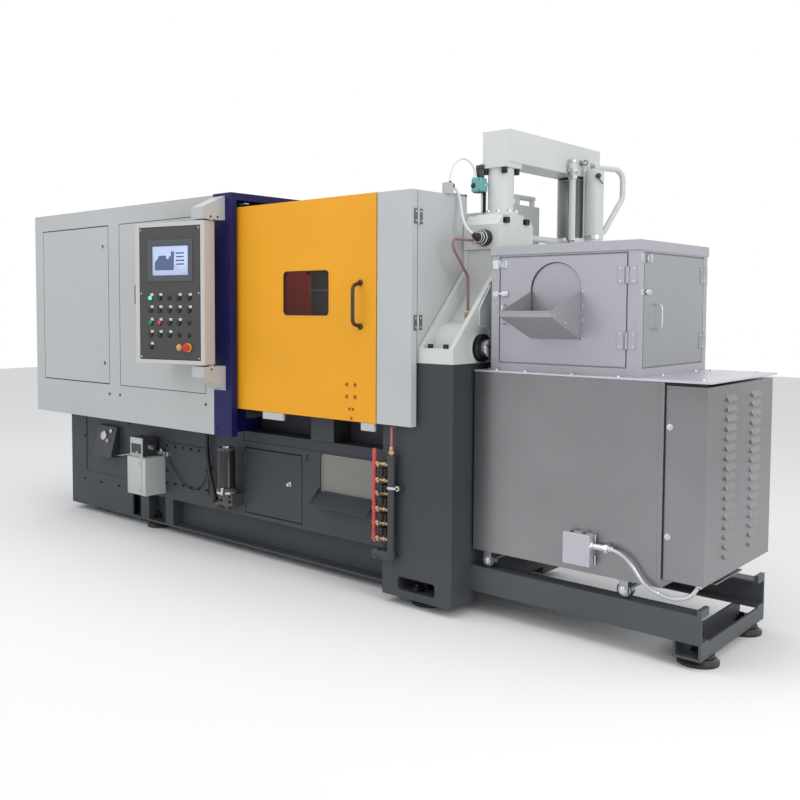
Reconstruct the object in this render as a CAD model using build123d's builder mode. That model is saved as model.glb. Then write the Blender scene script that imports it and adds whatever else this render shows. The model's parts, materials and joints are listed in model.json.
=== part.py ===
"""Hot-chamber die casting machine: clamp unit, guarded die bay, A-frame platen and furnace on rails.

X runs along the machine towards the furnace, Y to the back and Z up. The origin is on the
floor, on the machine's centreline, halfway along its length. Lengths are in millimetres.
"""
import os
from math import cos, radians, sin, tan

from build123d import *

os.makedirs("parts", exist_ok=True)

# Clearances
DOOR_GAP = 5.0
SEAT_GAP = 0.3
PIN_CLEARANCE = 0.05

# Levelling feet and bed
FOOT_RADIUS = 70.0
FOOT_RIM = 10.0
FOOT_SHOULDER = 24.0
FOOT_HEIGHT = 35.0
FOOT_STEM_RADIUS = 14.0
BED_LEFT = -1870.0
BED_HALF_WIDTH = 328.0
SILL_TOP = 198.0
SILL_DEPTH = 80.0
SILL_WALL = 12.0
BED_TOP = 609.0
BED_PLATE = 12.0
SILL_PLATE_RIGHT = -1259.0
STIFFENERS = ((-1183.0, -1108.0), (-958.0, -893.0))
BED_FOOT_X = -1098.0
BED_FOOT_Y = 260.0

# Portal that carries the fixed platen
PORTAL_LEFT = 654.0
PORTAL_RIGHT = 1001.0
PORTAL_HALF_WIDTH = 438.0
PORTAL_TOP = 995.0
POST_DEPTH = 75.0
PORTAL_PLATE = 25.0
PORTAL_TOE_TOP = 66.0
PORTAL_FOOT_X = 811.0
PORTAL_FOOT_Y = 328.0
POCKET_LEFT = 735.0
POCKET_RIGHT = 921.0
POCKET_TOP = 120.0
POCKET_CORNER = 12.0

# Recesses, cover plate and openings in the front of the bed
WALL_RECESS = 4.0
END_RECESS_LEFT = -1725.0
END_RECESS_RIGHT = -1325.0
END_RECESS_BOTTOM = 243.0
TOP_RECESS_LEFT = -330.0
TOP_RECESS_BOTTOM = 560.0
PLATE_LEFT = -945.0
PLATE_RIGHT = -590.0
PLATE_BOTTOM = 250.0
PLATE_TOP = 490.0
PLATE_THICKNESS = 6.0
BAY_HINGE_HEIGHTS = (270.0, 470.0)
BAY_LEFT = -315.0
BAY_RIGHT = 80.0
BAY_BOTTOM = 205.0
BAY_TOP = 531.0
CHUTE_LEFT = 195.0
CHUTE_RIGHT = 505.0
CHUTE_BOTTOM = 375.0
CHUTE_TOP = 551.0
CHUTE_PLATE = 3.0
DROP_HALF_WIDTH = 180.0
CHUTE_CORNER = 15.0
LIP_LEFT = 186.0
LIP_RIGHT = 532.0
LIP_REACH = 70.0
LIP_DROP = 50.0
LIP_WING = 20.0

# Clamp cabinet and the arch at its right end
CABINET_LEFT = -1932.0
CABINET_RIGHT = -316.0
CABINET_HALF_WIDTH = 523.0
CABINET_TOP = 1739.0
SKIN = 3.0
LEAF_THICKNESS = 20.0
DOOR_1_WIDTH = 656.0
DOOR_1_MARGIN = 91.0
DOOR_1_LEFT = CABINET_LEFT + DOOR_1_MARGIN
DOOR_1_RIGHT = DOOR_1_LEFT + DOOR_1_WIDTH
DOOR_POST = 102.0
PANEL_2_MARGIN = 59.0
PANEL_2_LEFT = DOOR_1_RIGHT + DOOR_POST
PANEL_2_RIGHT = CABINET_RIGHT - PANEL_2_MARGIN
DOOR_BOTTOM = 804.0
DOOR_TOP = 1645.0
DOOR_HINGE_HEIGHTS = (950.0, 1500.0)
ARCH_RIGHT = -189.0
ARCH_TOP = 1744.0
ARCH_CORNER = 34.0
ARCH_BULKHEAD = 10.0
ARCH_WINDOW_HALF = 330.0
ARCH_WINDOW_TOP = 1560.0
ARCH_WINDOW_SILL = 60.0

# Sliding door over the die bay
SLIDE_LEFT = -203.0
SLIDE_RIGHT = 648.0
SLIDE_REACH = 40.0
SLIDE_FRONT = -PORTAL_HALF_WIDTH - SLIDE_REACH
SLIDE_BOTTOM = 740.0
SLIDE_TOP = 1678.0
SLIDE_FOLD = 12.0
SLIDE_TRAVEL = 700.0
WINDOW_LEFT = 110.0
WINDOW_RIGHT = 386.0
WINDOW_BOTTOM = 1179.0
WINDOW_TOP = 1373.0
WINDOW_CORNER = 20.0
WINDOW_LAP = 15.0
WINDOW_THICKNESS = 5.0
PEEP_ROWS = ((893.0, 490.0, 536.0, 8.0), (842.0, 490.0, 536.0, 8.0), (791.0, 505.0, 524.0, 6.0))
PEEP_LOW_Z = 752.0
PEEP_LOW_X = 516.0
GUIDE_PADS = ((-26.0, 105.0), (568.0, 638.0))
GUIDE_DROP = 32.0
GUIDE_THICKNESS = 10.0
HANGER_INSET = 60.0
HANGER_HALF = 25.0
HANGER_THICKNESS = 14.0
HANDLE_X = 563.0
HANDLE_LOW = 1136.0
HANDLE_HIGH = 1316.0
HANDLE_REACH = 48.0
HANDLE_SLOPE = 12.0
HANDLE_BEND = 22.0
HANDLE_RADIUS = 8.0
HANDLE_SIDES = 12
RAIL_DEPTH = 20.0
RAIL_HEIGHT = 30.0
RAIL_BEHIND = 46.0
RAIL_DROP = 50.0
RAIL_LEFT = -910.0

# Guard beside the door
GUARD_RIGHT = 830.0
GUARD_BOTTOM = 742.0
GUARD_TOP = 1677.0
GUARD_DOOR_DEPTH = 33.0
GUARD_CLEAR = 3.0
GUARD_SIDE_FRONT = PORTAL_HALF_WIDTH + GUARD_CLEAR
GUARD_SIDE_BACK = 108.0
GUARD_HINGE_OUT = 2.0
GUARD_HINGE_HEIGHTS = (1155.0, 1573.0)
HOSE_CLAMP_X = (815.0, 845.0)
HOSE_CLAMP_Y = (-262.0, -224.0)
HOSE_CLAMP_TOP = 1722.0
REAR_PIPE_RADIUS = 12.0
REAR_PIPE_HEIGHT = 36.0
REAR_PIPE_FRONT = 292.0
REAR_PIPE_BACK = 443.0

# Platens, tie bars and the A-frame above the portal
PLATEN_LEFT = 690.0
RIB_LEFT = 833.0
PLATEN_RIGHT = 822.0
SPIGOT_HALF_WIDTH = 100.0
RIB_THICKNESS = 20.0
PLATEN_PLAY = 1.0
PLATEN_HALF_WIDTH = PORTAL_HALF_WIDTH - POST_DEPTH - PLATEN_PLAY
PLATEN_TOP = 1600.0
BASE_TOP = 1055.0
RIB_SHOULDER = 135.0
RIB_SHOULDER_LOW = 1370.0
HEAD_BOTTOM = 1452.0
HEAD_TOP = 1599.0
HEAD_SHOULDER = 1555.0
HEAD_CROWN = 95.0
BOLT_POCKET = 22.0
BOLT_POCKET_DEPTH = 38.0
BOLT_SPREAD = 77.0
WEB_INSET = 97.0
WEB_FOOT = PORTAL_HALF_WIDTH - WEB_INSET
WEB_KNEE = 120.0
WEB_KNEE_TOP = 1285.0
WEB_THICKNESS = 20.0
WEB_BEND = 60.0
COLLAR_RADIUS = 58.0
COLLAR_LENGTH = 7.0
COUPLING_X = 942.0
COUPLING_Z = 1499.0
COUPLING_RADIUS = 31.0
COUPLING_LENGTH = 37.0
COUPLING_HUB_RADIUS = 20.0
COUPLING_HUB_LENGTH = 20.0
COPPER_X = 918.0
COPPER_Z = 1487.0
COPPER_LENGTH = 55.0
COPPER_OUT_Y = -326.0
COPPER_KNEE_Z = 1448.0
COPPER_SLANT_Z = 1338.0
COPPER_BENDS = (18.0, 30.0, 40.0)
COPPER_INSET = 119.0
COPPER_FOOT_Y = COPPER_INSET - WEB_FOOT
COPPER_FOOT_TOP = 1200.0
COPPER_NUT_RADIUS = 12.0
COPPER_DIAMETER = 11.0
GREASE_DIAMETER = 8.0
GREASE_ROUTE = (
    (-186.0, 1310.0), (-272.0, 1208.0), (-272.0, 1142.0), (-205.0, 1132.0), (-193.0, 1082.0),
)
GREASE_BENDS = (20.0, 20.0, 16.0)
TIE_RADIUS = 35.0
TIE_INSET = 97.0
TIE_Y = PLATEN_HALF_WIDTH - TIE_INSET
TIE_LOW = 1055.0
TIE_HIGH = 1455.0
BOSS_RADIUS = 50.0
NUT_RADIUS = 48.0
NUT_LENGTH = 28.0
TIE_STUB = 22.0
MOVING_LEFT = 150.0
MOVING_RIGHT = 290.0
REAR_LEFT = -1150.0
REAR_RIGHT = -1000.0
PLATEN_INSET = 20.0

# Column, beam and accumulator above the A-frame
COLUMN_X = 926.0
COLUMN_Y = 0.0
COLUMN_RADIUS = 53.5
BEAM_BOTTOM = 1815.0
BEAM_TOP = 1948.0
BEAM_HALF = 65.0
BEAM_FRONT = -39.0
BEAM_BACK = 748.0
FLANGE_THICKNESS = 22.0
FLANGE_HALF = 62.0
TANK_Y = 632.0
TANK_RADIUS = 78.0
TANK_BOTTOM = 1150.0
FOOT_RING_RADIUS = 72.0
FOOT_RING_HEIGHT = 12.0
SCALE_X = (858.0, 878.0)
SCALE_Y = (-45.0, -39.0)
SCALE_TOP = 1740.0
BOTTLE_X = 1050.0
BOTTLE_Y = 586.0
BOTTLE_RADIUS = 40.0
BOTTLE_TOP = 1835.0
BOTTLE_NECK_RADIUS = 20.0
BOTTLE_NECK_TOP = 1869.0
BOTTLE_CLAMP_Z = (1525.0, 1545.0)
DROP_PIPE_X = 1010.0
DROP_PIPE_Y = 455.0
DROP_PIPE_RADIUS = 14.0
DROP_PIPE_TOP = 1853.0
DROP_PIPE_DROP = 38.0
DROP_PIPE_FOOT = HEAD_SHOULDER - DROP_PIPE_DROP
PIPE_ELBOW_RADIUS = 19.0
OIL_PIPE_DIAMETER = 25.0
OIL_PIPE_BEND = 50.0
OIL_PIPE_ROUTE = (
    (1050, 600, 1852), (1078, 684, 1852), (1110, 742, 1852), (1110, 742, 1720), (1078, 626, 1560),
    (1058, 600, 1535),
)

# Limit switch at the front of the beam's flange
SWITCH_X = (840.0, 890.0)
SWITCH_Y = (-95.0, -50.0)
SWITCH_Z = (1695.0, 1755.0)
SWITCH_PLATE_X = (845.0, 885.0)
SWITCH_PLATE_THICKNESS = 5.0
SWITCH_PLATE_TOP = 1810.0
SWITCH_GLAND_X = 850.0
SWITCH_GLAND_Y = -80.0
SWITCH_GLAND_TOP = 1765.0
SWITCH_GLAND_RADIUS = 8.0

# Control panel on its arms
PIVOT_X = -259.0
PIVOT_REACH = 65.0
PIVOT_Y = -CABINET_HALF_WIDTH - PIVOT_REACH
PANEL_TURN = 12.0
PANEL_WIDTH = 420.0
PANEL_DEPTH = 90.0
PANEL_BOTTOM = 950.0
PANEL_TOP = 1610.0
PIVOT_FROM_RIGHT = 15.0
PIVOT_FROM_FACE = 70.0
ARM_LEFT = CABINET_RIGHT
ARM_RIGHT = -230.0
ARM_REACH = 131.0
ARM_FRONT = -CABINET_HALF_WIDTH - ARM_REACH
ARM_LOW_BOTTOM = 825.0
ARM_LOW_TOP = 941.0
ARM_HIGH_BOTTOM = 1617.0
ARM_HIGH_TOP = 1731.0
ARM_NOSE_LOW = 50.0
ARM_NOSE_HIGH = 60.0
PIVOT_RADIUS = 12.0
PANEL_CORNER = 12.0
FACE_RECESS = 3.0
FACE_LEFT = -372.0
FACE_RIGHT = -3.0
FACE_BOTTOM = 968.0
FACE_TOP = 1590.0
BEZEL_X = (-318.0, -46.0)
BEZEL_Z = (1334.0, 1528.0)
BEZEL_THICKNESS = 6.0
SCREEN_X = (-288.0, -75.0)
SCREEN_Z = (1367.0, 1502.0)
SCREEN_RECESS = 3.0
BUTTON_COLUMNS = (-302.0, -247.0, -188.0, -130.0, -70.0)
BUTTON_ROWS = (1258.0, 1201.0, 1142.0, 1085.0)
BUTTON_RADIUS = 13.0
BUTTON_LENGTH = 12.0
BUTTON_SIDES = 8
LOW_ROW_Z = 1028.0
LOW_BUTTONS = ((-302.0, 13.0, 12.0), (-131.0, 15.0, 16.0), (-78.0, 21.0, 26.0))

# Fittings on the front of the bed
BOX_X = (-1118.0, -955.0)
BOX_FRONT = -459.0
BOX_Z = (212.0, 413.0)
LUBRICATOR_X = (-1113.0, -1003.0)
LUBRICATOR_Y = (-440.0, -350.0)
LUBRICATOR_TOP = 515.0
KNOB_RADIUS = 12.0
KNOB_LENGTH = 18.0
OUTLET_Y = -345.0
OUTLET_Z = 431.0
OUTLET_RADIUS = 8.0
OUTLET_BLOCK_X = (-930.0, -900.0)
OUTLET_HALF = 11.0
GAUGE_X = (-1560.0, -1380.0)
GAUGE_BOTTOM = 362.0
GAUGE_TOP = 533.0
GAUGE_LIP = 15.0
GAUGE_REACH = 60.0
GAUGE_CROWN = 17.0
FILTER_X = -371.0
FILTER_Y = -400.0
FILTER_RADIUS = 43.0
FILTER_BOTTOM = 332.0
FILTER_TOP = 529.0
FILTER_CLAMP_RADIUS = 48.0
FILTER_CLAMP_HEIGHT = 32.0
FILTER_BRACKET_X = (-430.0, -330.0)
FILTER_BRACKET_BOTTOM = 240.0
BED_CONDUIT_DIAMETER = 22.0
BED_CONDUIT_END_X = -512.0
BED_CONDUIT_Y = -350.0
BED_CONDUIT_END_Z = 244.0
BED_ELBOW_RADIUS = 14.0
BED_ELBOW_BOTTOM = 212.0
BED_CABLE_DIAMETER = 5.0
BED_CABLE_CLIP_X = (-588.0, -570.0)
BED_CABLE_CLIP_Y = -352.0
BED_CABLE_CLIP_Z = (388.0, 404.0)

# Water manifold on the portal's post
MANIFOLD_REACH = 28.0
MANIFOLD_Y = -PORTAL_HALF_WIDTH - MANIFOLD_REACH
SUPPLY_X = 722.0
SUPPLY_RADIUS = 16.0
SUPPLY_BOTTOM = 205.0
SUPPLY_TOP = 607.0
SUPPLY_CAP_RADIUS = 20.0
SUPPLY_CAP_HEIGHT = 26.0
SUPPLY_INLET_X = 632.0
NIPPLE_RADIUS = 8.0
NIPPLE_TOP = 652.0
TUBE_RADIUS = 5.0
TUBE_TOP = 726.0
HEADER_X = 633.0
HEADER_RADIUS = 11.0
HEADER_Z = (262.0, 639.0)
VALVE_X = 673.0
VALVE_HEIGHTS = (577.0, 511.0, 458.0, 392.0, 334.0, 270.0)
VALVE_RADIUS = 8.0
VALVE_REACH = 14.0
REGULATOR_X = (655.0, 700.0)
REGULATOR_DROP = 44.0
CLAMP_Z = (472.0, 498.0)
CLAMP_X = (700.0, 762.0)

# Rails and furnace
RAIL_TOP = 191.0
RAIL_BOTTOM = 90.0
RAIL_FRONT = -308.0
RAIL_WIDTH = 68.0
RAIL_WEB = 8.0
RAIL_END = 1917.0
CHANNEL_LEFT = 1822.0
RAIL_FOOT_X = 1871.0
RAIL_FOOT_Y = 209.0
FURNACE_LEFT = 1011.0
FURNACE_RIGHT = 1775.0
FURNACE_FRONT = -305.0
FURNACE_BACK = 322.0
FURNACE_BOTTOM = 258.0
FURNACE_TOP = 965.0
COVER_RIGHT = 1918.0
COVER_FRONT = -298.0
COVER_BACK = 336.0
COVER_BOTTOM = 288.0
COVER_TOP = 953.0
LID_TOP = 972.0
LID_RIGHT = 1932.0
WHEEL_RADIUS = 28.0
WHEEL_WIDTH = 26.0
AXLE_RADIUS = 8.0
BRACKET_HALF = 26.0
CHEEK_HALF = 16.0
WHEEL_X = (1070.0, 1637.0)
WHEEL_Y = 274.0
BRACKET_PLATE = 5.0
TROLLEY_TRAVEL = 200.0
END_STOP_LENGTH = 15.0
END_STOP_HEIGHT = 20.0
PAN_X = (1231.0, 1384.0)
PAN_HALF_WIDTH = 200.0
PAN_DEPTH = 25.0
TONGUE_RIGHT = 1900.0
TONGUE_Y = (-139.0, 113.0)
TONGUE_THICKNESS = 4.0
LID_LAP = 4.0
LOUVRE_COLUMNS = (-131.0, 112.0)
LOUVRE_WIDTH = 85.0
LOUVRE_ROWS = 17
LOUVRE_PITCH = 34.0
LOUVRE_TOP = 915.0
LOUVRE_HEIGHT = 20.0
LOUVRE_PROUD = 9.0
FURNACE_BOX_X = (1428.0, 1531.0)
FURNACE_BOX_Z = (292.0, 403.0)
FURNACE_BOX_DEPTH = 40.0
FURNACE_GLAND_Y = -330.0
FURNACE_GLAND_Z = 366.0
FURNACE_GLAND_RIGHT = 1610.0
FURNACE_GLAND_RADIUS = 11.0
FURNACE_CONDUIT_DIAMETER = 14.0

# Hood on the furnace
HOOD_LEFT = 1062.0
HOOD_RIGHT = 1663.0
HOOD_FRONT = -270.0
HOOD_BACK = 336.0
HOOD_TOP = 1440.0
HOOD_WALL = 15.0
HOOD_LID_TOP = 1452.0
HOOD_LID_LIP = 25.0
HOOD_LID_LAP = 4.0
HOOD_LEAF = 8.0
HOOD_FRAME = 25.0
HOOD_TOP_FRAME = 6.0
FRONT_DOOR_LEFT = 1102.0
FRONT_DOOR_RIGHT = 1616.0
FRONT_DOOR_BOTTOM = 1006.0
FRONT_DOOR_TOP = 1405.0
FRONT_HINGE_HEIGHTS = (1099.0, 1330.0)
SIDE_DOOR_FRONT = -230.0
SIDE_DOOR_BACK = 298.0
SIDE_HINGE_HEIGHTS = (1086.0, 1340.0)
FEED_X = 1339.0
FEED_RADIUS = 104.0
FEED_SPRING = 1279.0
FEED_BOTTOM = 1102.0
FLAP_LAP = 12.0
FLAP_THICKNESS = 3.0
TRAY_WALL = 3.0
TRAY_REACH = 212.0
TRAY_HEEL = 1099.0
TRAY_TOE = 1181.0
TRAY_LIP_TOP = 1201.0
TRAY_WING_TOP = 1274.0

# Hinges
KNUCKLE_RADIUS = 6.0
KNUCKLE_LENGTH = 30.0

# Cords
SWITCH_CONDUIT_DIAMETER = 7.0
AIR_HOSE_DIAMETER = 12.0
CORD_SIDES = 8
BEND_SHARE = 0.45


def write_piece(part: Part, node: str) -> None:
    """Labels a finished piece and writes it to its own file."""
    part.label = node
    export_step(part, f"parts/{node}.step")


def block(x: tuple, y: tuple, z: tuple, mode: Mode = Mode.ADD) -> None:
    """Adds or cuts a block between two limits on each axis."""
    with Locations(((x[0] + x[1]) / 2, (y[0] + y[1]) / 2, (z[0] + z[1]) / 2)):
        Box(x[1] - x[0], y[1] - y[0], z[1] - z[0], mode=mode)


def upright(x: float, y: float, z: tuple, radius: float, mode: Mode = Mode.ADD) -> None:
    """Adds or cuts an upright cylinder between two heights."""
    with Locations((x, y, (z[0] + z[1]) / 2)):
        Cylinder(radius, z[1] - z[0], mode=mode)


def barrel(axis: str, across: tuple, along: tuple, radius: float, mode: Mode = Mode.ADD) -> None:
    """Adds or cuts a level cylinder.

    Along X, across is its Y and Z, and along Y it is its X and Z.
    """
    middle = (along[0] + along[1]) / 2
    if axis == "X":
        place = Location((middle, *across), (0, 90, 0))
    else:
        place = Location((across[0], middle, across[1]), (90, 0, 0))
    with Locations(place):
        Cylinder(radius, along[1] - along[0], mode=mode)


def outline(plane: Plane, *points: tuple) -> Sketch:
    """Returns a closed polygon drawn on a plane."""
    with BuildSketch(plane) as drawn:
        with BuildLine():
            Polyline(*points, close=True)
        make_face()
    return drawn.sketch


def write_tube(node: str, diameter: float, route: tuple, bends: list) -> None:
    """Writes a tube of few sides along straight runs joined by tangent arcs."""
    with BuildPart() as tube:
        with BuildLine() as path:
            FilletPolyline(*route, radius=bends)
        with BuildSketch(Plane(path.line @ 0, z_dir=path.line % 0)):
            RegularPolygon(diameter / 2, CORD_SIDES)
        sweep()
    write_piece(tube.part, node)


def write_cord(node: str, diameter: float, route: tuple) -> None:
    """Writes a cord, with each arc as large as its two runs allow, and prints the radii."""
    bends = []
    for before, corner, after in zip(route, route[1:], route[2:]):
        first, second = Vector(*corner) - Vector(*before), Vector(*after) - Vector(*corner)
        shorter = min(first.length, second.length)
        bends.append(BEND_SHARE * shorter / tan(radians(first.get_angle(second)) / 2))
    print(node, "diameter", diameter, "bend radii", [round(bend) for bend in bends])
    write_tube(node, diameter, route, bends)


def knuckles(x: float, y: float, heights: tuple, moving: bool) -> None:
    """Adds one half of each hinge barrel on an upright axis and clears the other half.

    The lower half of a barrel belongs to the frame and the upper half to the leaf.
    """
    for height in heights:
        lower = (height - KNUCKLE_LENGTH, height - SEAT_GAP)
        upper = (height, height + KNUCKLE_LENGTH)
        own, other = (upper, lower) if moving else (lower, upper)
        cleared = (other[0] - 1, other[1] + SEAT_GAP)
        upright(x, y, cleared, KNUCKLE_RADIUS + 1, Mode.SUBTRACT)
        upright(x, y, own, KNUCKLE_RADIUS)


# Bed: channel sills, walls, deck and end plate
with BuildPart() as bed_sills:
    with BuildSketch(Plane.YZ.offset(BED_LEFT)):
        with Locations((-BED_HALF_WIDTH + SILL_DEPTH / 2, (FOOT_HEIGHT + SILL_TOP) / 2)):
            Rectangle(SILL_DEPTH, SILL_TOP - FOOT_HEIGHT)
        with Locations(
            (-BED_HALF_WIDTH + (SILL_DEPTH - SILL_WALL) / 2, (FOOT_HEIGHT + SILL_TOP) / 2)
        ):
            Rectangle(
                SILL_DEPTH - SILL_WALL, SILL_TOP - FOOT_HEIGHT - 2 * SILL_WALL, mode=Mode.SUBTRACT
            )
    extrude(amount=PORTAL_LEFT - BED_LEFT)
    block(
        (BED_LEFT, SILL_PLATE_RIGHT), (-BED_HALF_WIDTH, -BED_HALF_WIDTH + SILL_WALL),
        (FOOT_HEIGHT, SILL_TOP),
    )
    for stiffener_x in STIFFENERS:
        block(
            stiffener_x, (-BED_HALF_WIDTH, -BED_HALF_WIDTH + SILL_DEPTH), (FOOT_HEIGHT, SILL_TOP)
        )
    mirror(about=Plane.XZ)
write_piece(bed_sills.part, "bed_sills")

wall_front = (-BED_HALF_WIDTH, -BED_HALF_WIDTH + BED_PLATE)
with BuildPart() as bed_wall_front:
    block((BED_LEFT, PORTAL_LEFT), wall_front, (SILL_TOP, BED_TOP - BED_PLATE))
    for recess_x, recess_bottom in (
        ((END_RECESS_LEFT, END_RECESS_RIGHT), END_RECESS_BOTTOM),
        ((TOP_RECESS_LEFT, PORTAL_LEFT), TOP_RECESS_BOTTOM),
    ):
        block(
            recess_x, (-BED_HALF_WIDTH - 1, -BED_HALF_WIDTH + WALL_RECESS),
            (recess_bottom, BED_TOP - BED_PLATE), Mode.SUBTRACT,
        )
    block(
        (PLATE_LEFT, PLATE_RIGHT), (-BED_HALF_WIDTH - PLATE_THICKNESS, -BED_HALF_WIDTH),
        (PLATE_BOTTOM, PLATE_TOP),
    )
    block(
        (BAY_LEFT, BAY_RIGHT), (-BED_HALF_WIDTH - 1, -BED_HALF_WIDTH + BED_PLATE + 1),
        (BAY_BOTTOM, BAY_TOP), Mode.SUBTRACT,
    )
    with BuildSketch(Plane.XZ.offset(BED_HALF_WIDTH)):
        with Locations(((CHUTE_LEFT + CHUTE_RIGHT) / 2, (CHUTE_BOTTOM + CHUTE_TOP) / 2)):
            RectangleRounded(CHUTE_RIGHT - CHUTE_LEFT, CHUTE_TOP - CHUTE_BOTTOM, CHUTE_CORNER)
    extrude(amount=-BED_PLATE, mode=Mode.SUBTRACT)
    knuckles(BAY_LEFT + DOOR_GAP / 2, -BED_HALF_WIDTH, BAY_HINGE_HEIGHTS, moving=False)
write_piece(bed_wall_front.part, "bed_wall_front")

with BuildPart() as bed_door:
    block(
        (BAY_LEFT + DOOR_GAP, BAY_RIGHT - DOOR_GAP), wall_front,
        (BAY_BOTTOM + DOOR_GAP, BAY_TOP - DOOR_GAP),
    )
    knuckles(BAY_LEFT + DOOR_GAP / 2, -BED_HALF_WIDTH, BAY_HINGE_HEIGHTS, moving=True)
write_piece(bed_door.part, "bed_door")

with BuildPart() as bed_wall_back:
    block(
        (BED_LEFT, PORTAL_LEFT),
        (BED_HALF_WIDTH - BED_PLATE, BED_HALF_WIDTH),
        (SILL_TOP, BED_TOP - BED_PLATE),
    )
    block(
        (BED_LEFT - BED_PLATE, BED_LEFT), (-BED_HALF_WIDTH, BED_HALF_WIDTH),
        (FOOT_HEIGHT, BED_TOP - BED_PLATE),
    )
write_piece(bed_wall_back.part, "bed_wall_back")

with BuildPart() as bed_deck:
    block(
        (BED_LEFT - BED_PLATE, PORTAL_RIGHT - PORTAL_PLATE), (-BED_HALF_WIDTH, BED_HALF_WIDTH),
        (BED_TOP - BED_PLATE, BED_TOP),
    )
    block(
        (CHUTE_LEFT + CHUTE_PLATE, CHUTE_RIGHT - CHUTE_PLATE), (-DROP_HALF_WIDTH, DROP_HALF_WIDTH),
        (BED_TOP - BED_PLATE - 1, BED_TOP + 1), Mode.SUBTRACT,
    )
write_piece(bed_deck.part, "bed_deck")

lip_y, lip_z = -BED_HALF_WIDTH - LIP_REACH, CHUTE_BOTTOM - LIP_DROP
with BuildPart() as casting_chute:
    slide = outline(
        Plane.YZ.offset(CHUTE_LEFT + CHUTE_CORNER), (DROP_HALF_WIDTH, BED_TOP - BED_PLATE),
        (BED_PLATE - BED_HALF_WIDTH, CHUTE_BOTTOM + 2 * CHUTE_PLATE),
        (-BED_HALF_WIDTH, CHUTE_BOTTOM + 2 * CHUTE_PLATE), (-BED_HALF_WIDTH, CHUTE_BOTTOM),
        (BED_PLATE - BED_HALF_WIDTH, CHUTE_BOTTOM),
        (DROP_HALF_WIDTH, BED_TOP - BED_PLATE - 2 * CHUTE_PLATE),
    )
    extrude(slide, amount=CHUTE_RIGHT - CHUTE_LEFT - 2 * CHUTE_CORNER)
    lip = outline(
        Plane.YZ.offset(LIP_LEFT), (-BED_HALF_WIDTH, CHUTE_BOTTOM + CHUTE_PLATE),
        (lip_y, lip_z + CHUTE_PLATE), (lip_y, lip_z), (-BED_HALF_WIDTH, CHUTE_BOTTOM),
    )
    extrude(lip, amount=LIP_RIGHT - LIP_LEFT)
    for wing_x in (LIP_LEFT, LIP_RIGHT - CHUTE_PLATE):
        wing = outline(
            Plane.YZ.offset(wing_x), (-BED_HALF_WIDTH, CHUTE_BOTTOM + LIP_WING),
            (lip_y, lip_z + CHUTE_PLATE), (lip_y, lip_z), (-BED_HALF_WIDTH, CHUTE_BOTTOM),
        )
        extrude(wing, amount=CHUTE_PLATE)
write_piece(casting_chute.part, "casting_chute")

with BuildPart() as levelling_feet:
    for foot_x, foot_y in (
        (BED_FOOT_X, BED_FOOT_Y), (PORTAL_FOOT_X, PORTAL_FOOT_Y), (RAIL_FOOT_X, RAIL_FOOT_Y)
    ):
        for side in (-1, 1):
            with BuildSketch(Plane.XZ.offset(-side * foot_y)):
                with BuildLine():
                    Polyline(
                        (foot_x, 0), (foot_x + FOOT_RADIUS, 0), (foot_x + FOOT_RADIUS, FOOT_RIM),
                        (foot_x + FOOT_RADIUS + FOOT_RIM - FOOT_SHOULDER, FOOT_SHOULDER),
                        (foot_x + FOOT_STEM_RADIUS, FOOT_SHOULDER),
                        (foot_x + FOOT_STEM_RADIUS, FOOT_HEIGHT), (foot_x, FOOT_HEIGHT),
                        close=True,
                    )
                make_face()
            revolve(axis=Axis((foot_x, side * foot_y, 0), (0, 0, 1)))
write_piece(levelling_feet.part, "levelling_feet")

# Portal: two posts with toes for the feet, and the two plates that join them
with BuildPart() as portal_posts:
    with BuildSketch(Plane.YZ.offset(PORTAL_LEFT)):
        with BuildLine():
            Polyline(
                (-PORTAL_HALF_WIDTH, FOOT_HEIGHT), (FOOT_RADIUS - PORTAL_FOOT_Y, FOOT_HEIGHT),
                (FOOT_RADIUS - PORTAL_FOOT_Y, PORTAL_TOE_TOP),
                (POST_DEPTH - PORTAL_HALF_WIDTH, PORTAL_TOE_TOP),
                (POST_DEPTH - PORTAL_HALF_WIDTH, PORTAL_TOP), (-PORTAL_HALF_WIDTH, PORTAL_TOP),
                close=True,
            )
        make_face()
    extrude(amount=PORTAL_RIGHT - PORTAL_LEFT)
    with BuildSketch(Plane.XZ.offset(PORTAL_HALF_WIDTH)):
        with Locations(((POCKET_LEFT + POCKET_RIGHT) / 2, (PORTAL_TOE_TOP + POCKET_TOP) / 2)):
            RectangleRounded(POCKET_RIGHT - POCKET_LEFT, POCKET_TOP - PORTAL_TOE_TOP, POCKET_CORNER)
    extrude(amount=-POST_DEPTH, mode=Mode.SUBTRACT)
    mirror(about=Plane.XZ)
write_piece(portal_posts.part, "portal_posts")

with BuildPart() as portal_end_plate:
    block(
        (PORTAL_RIGHT - PORTAL_PLATE, PORTAL_RIGHT),
        (-PORTAL_HALF_WIDTH + POST_DEPTH, PORTAL_HALF_WIDTH - POST_DEPTH),
        (PORTAL_TOE_TOP, PORTAL_TOP),
    )
write_piece(portal_end_plate.part, "portal_end_plate")

# Clamp cabinet: floor, roof, end and two skins, with a door and a fixed panel in the front
cabinet_inside = (-CABINET_HALF_WIDTH + SKIN, CABINET_HALF_WIDTH - SKIN)
with BuildPart() as cabinet_roof_and_floor:
    for sheet_bottom in (BED_TOP, CABINET_TOP - SKIN):
        block((CABINET_LEFT, CABINET_RIGHT), cabinet_inside, (sheet_bottom, sheet_bottom + SKIN))
write_piece(cabinet_roof_and_floor.part, "cabinet_roof_and_floor")

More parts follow.
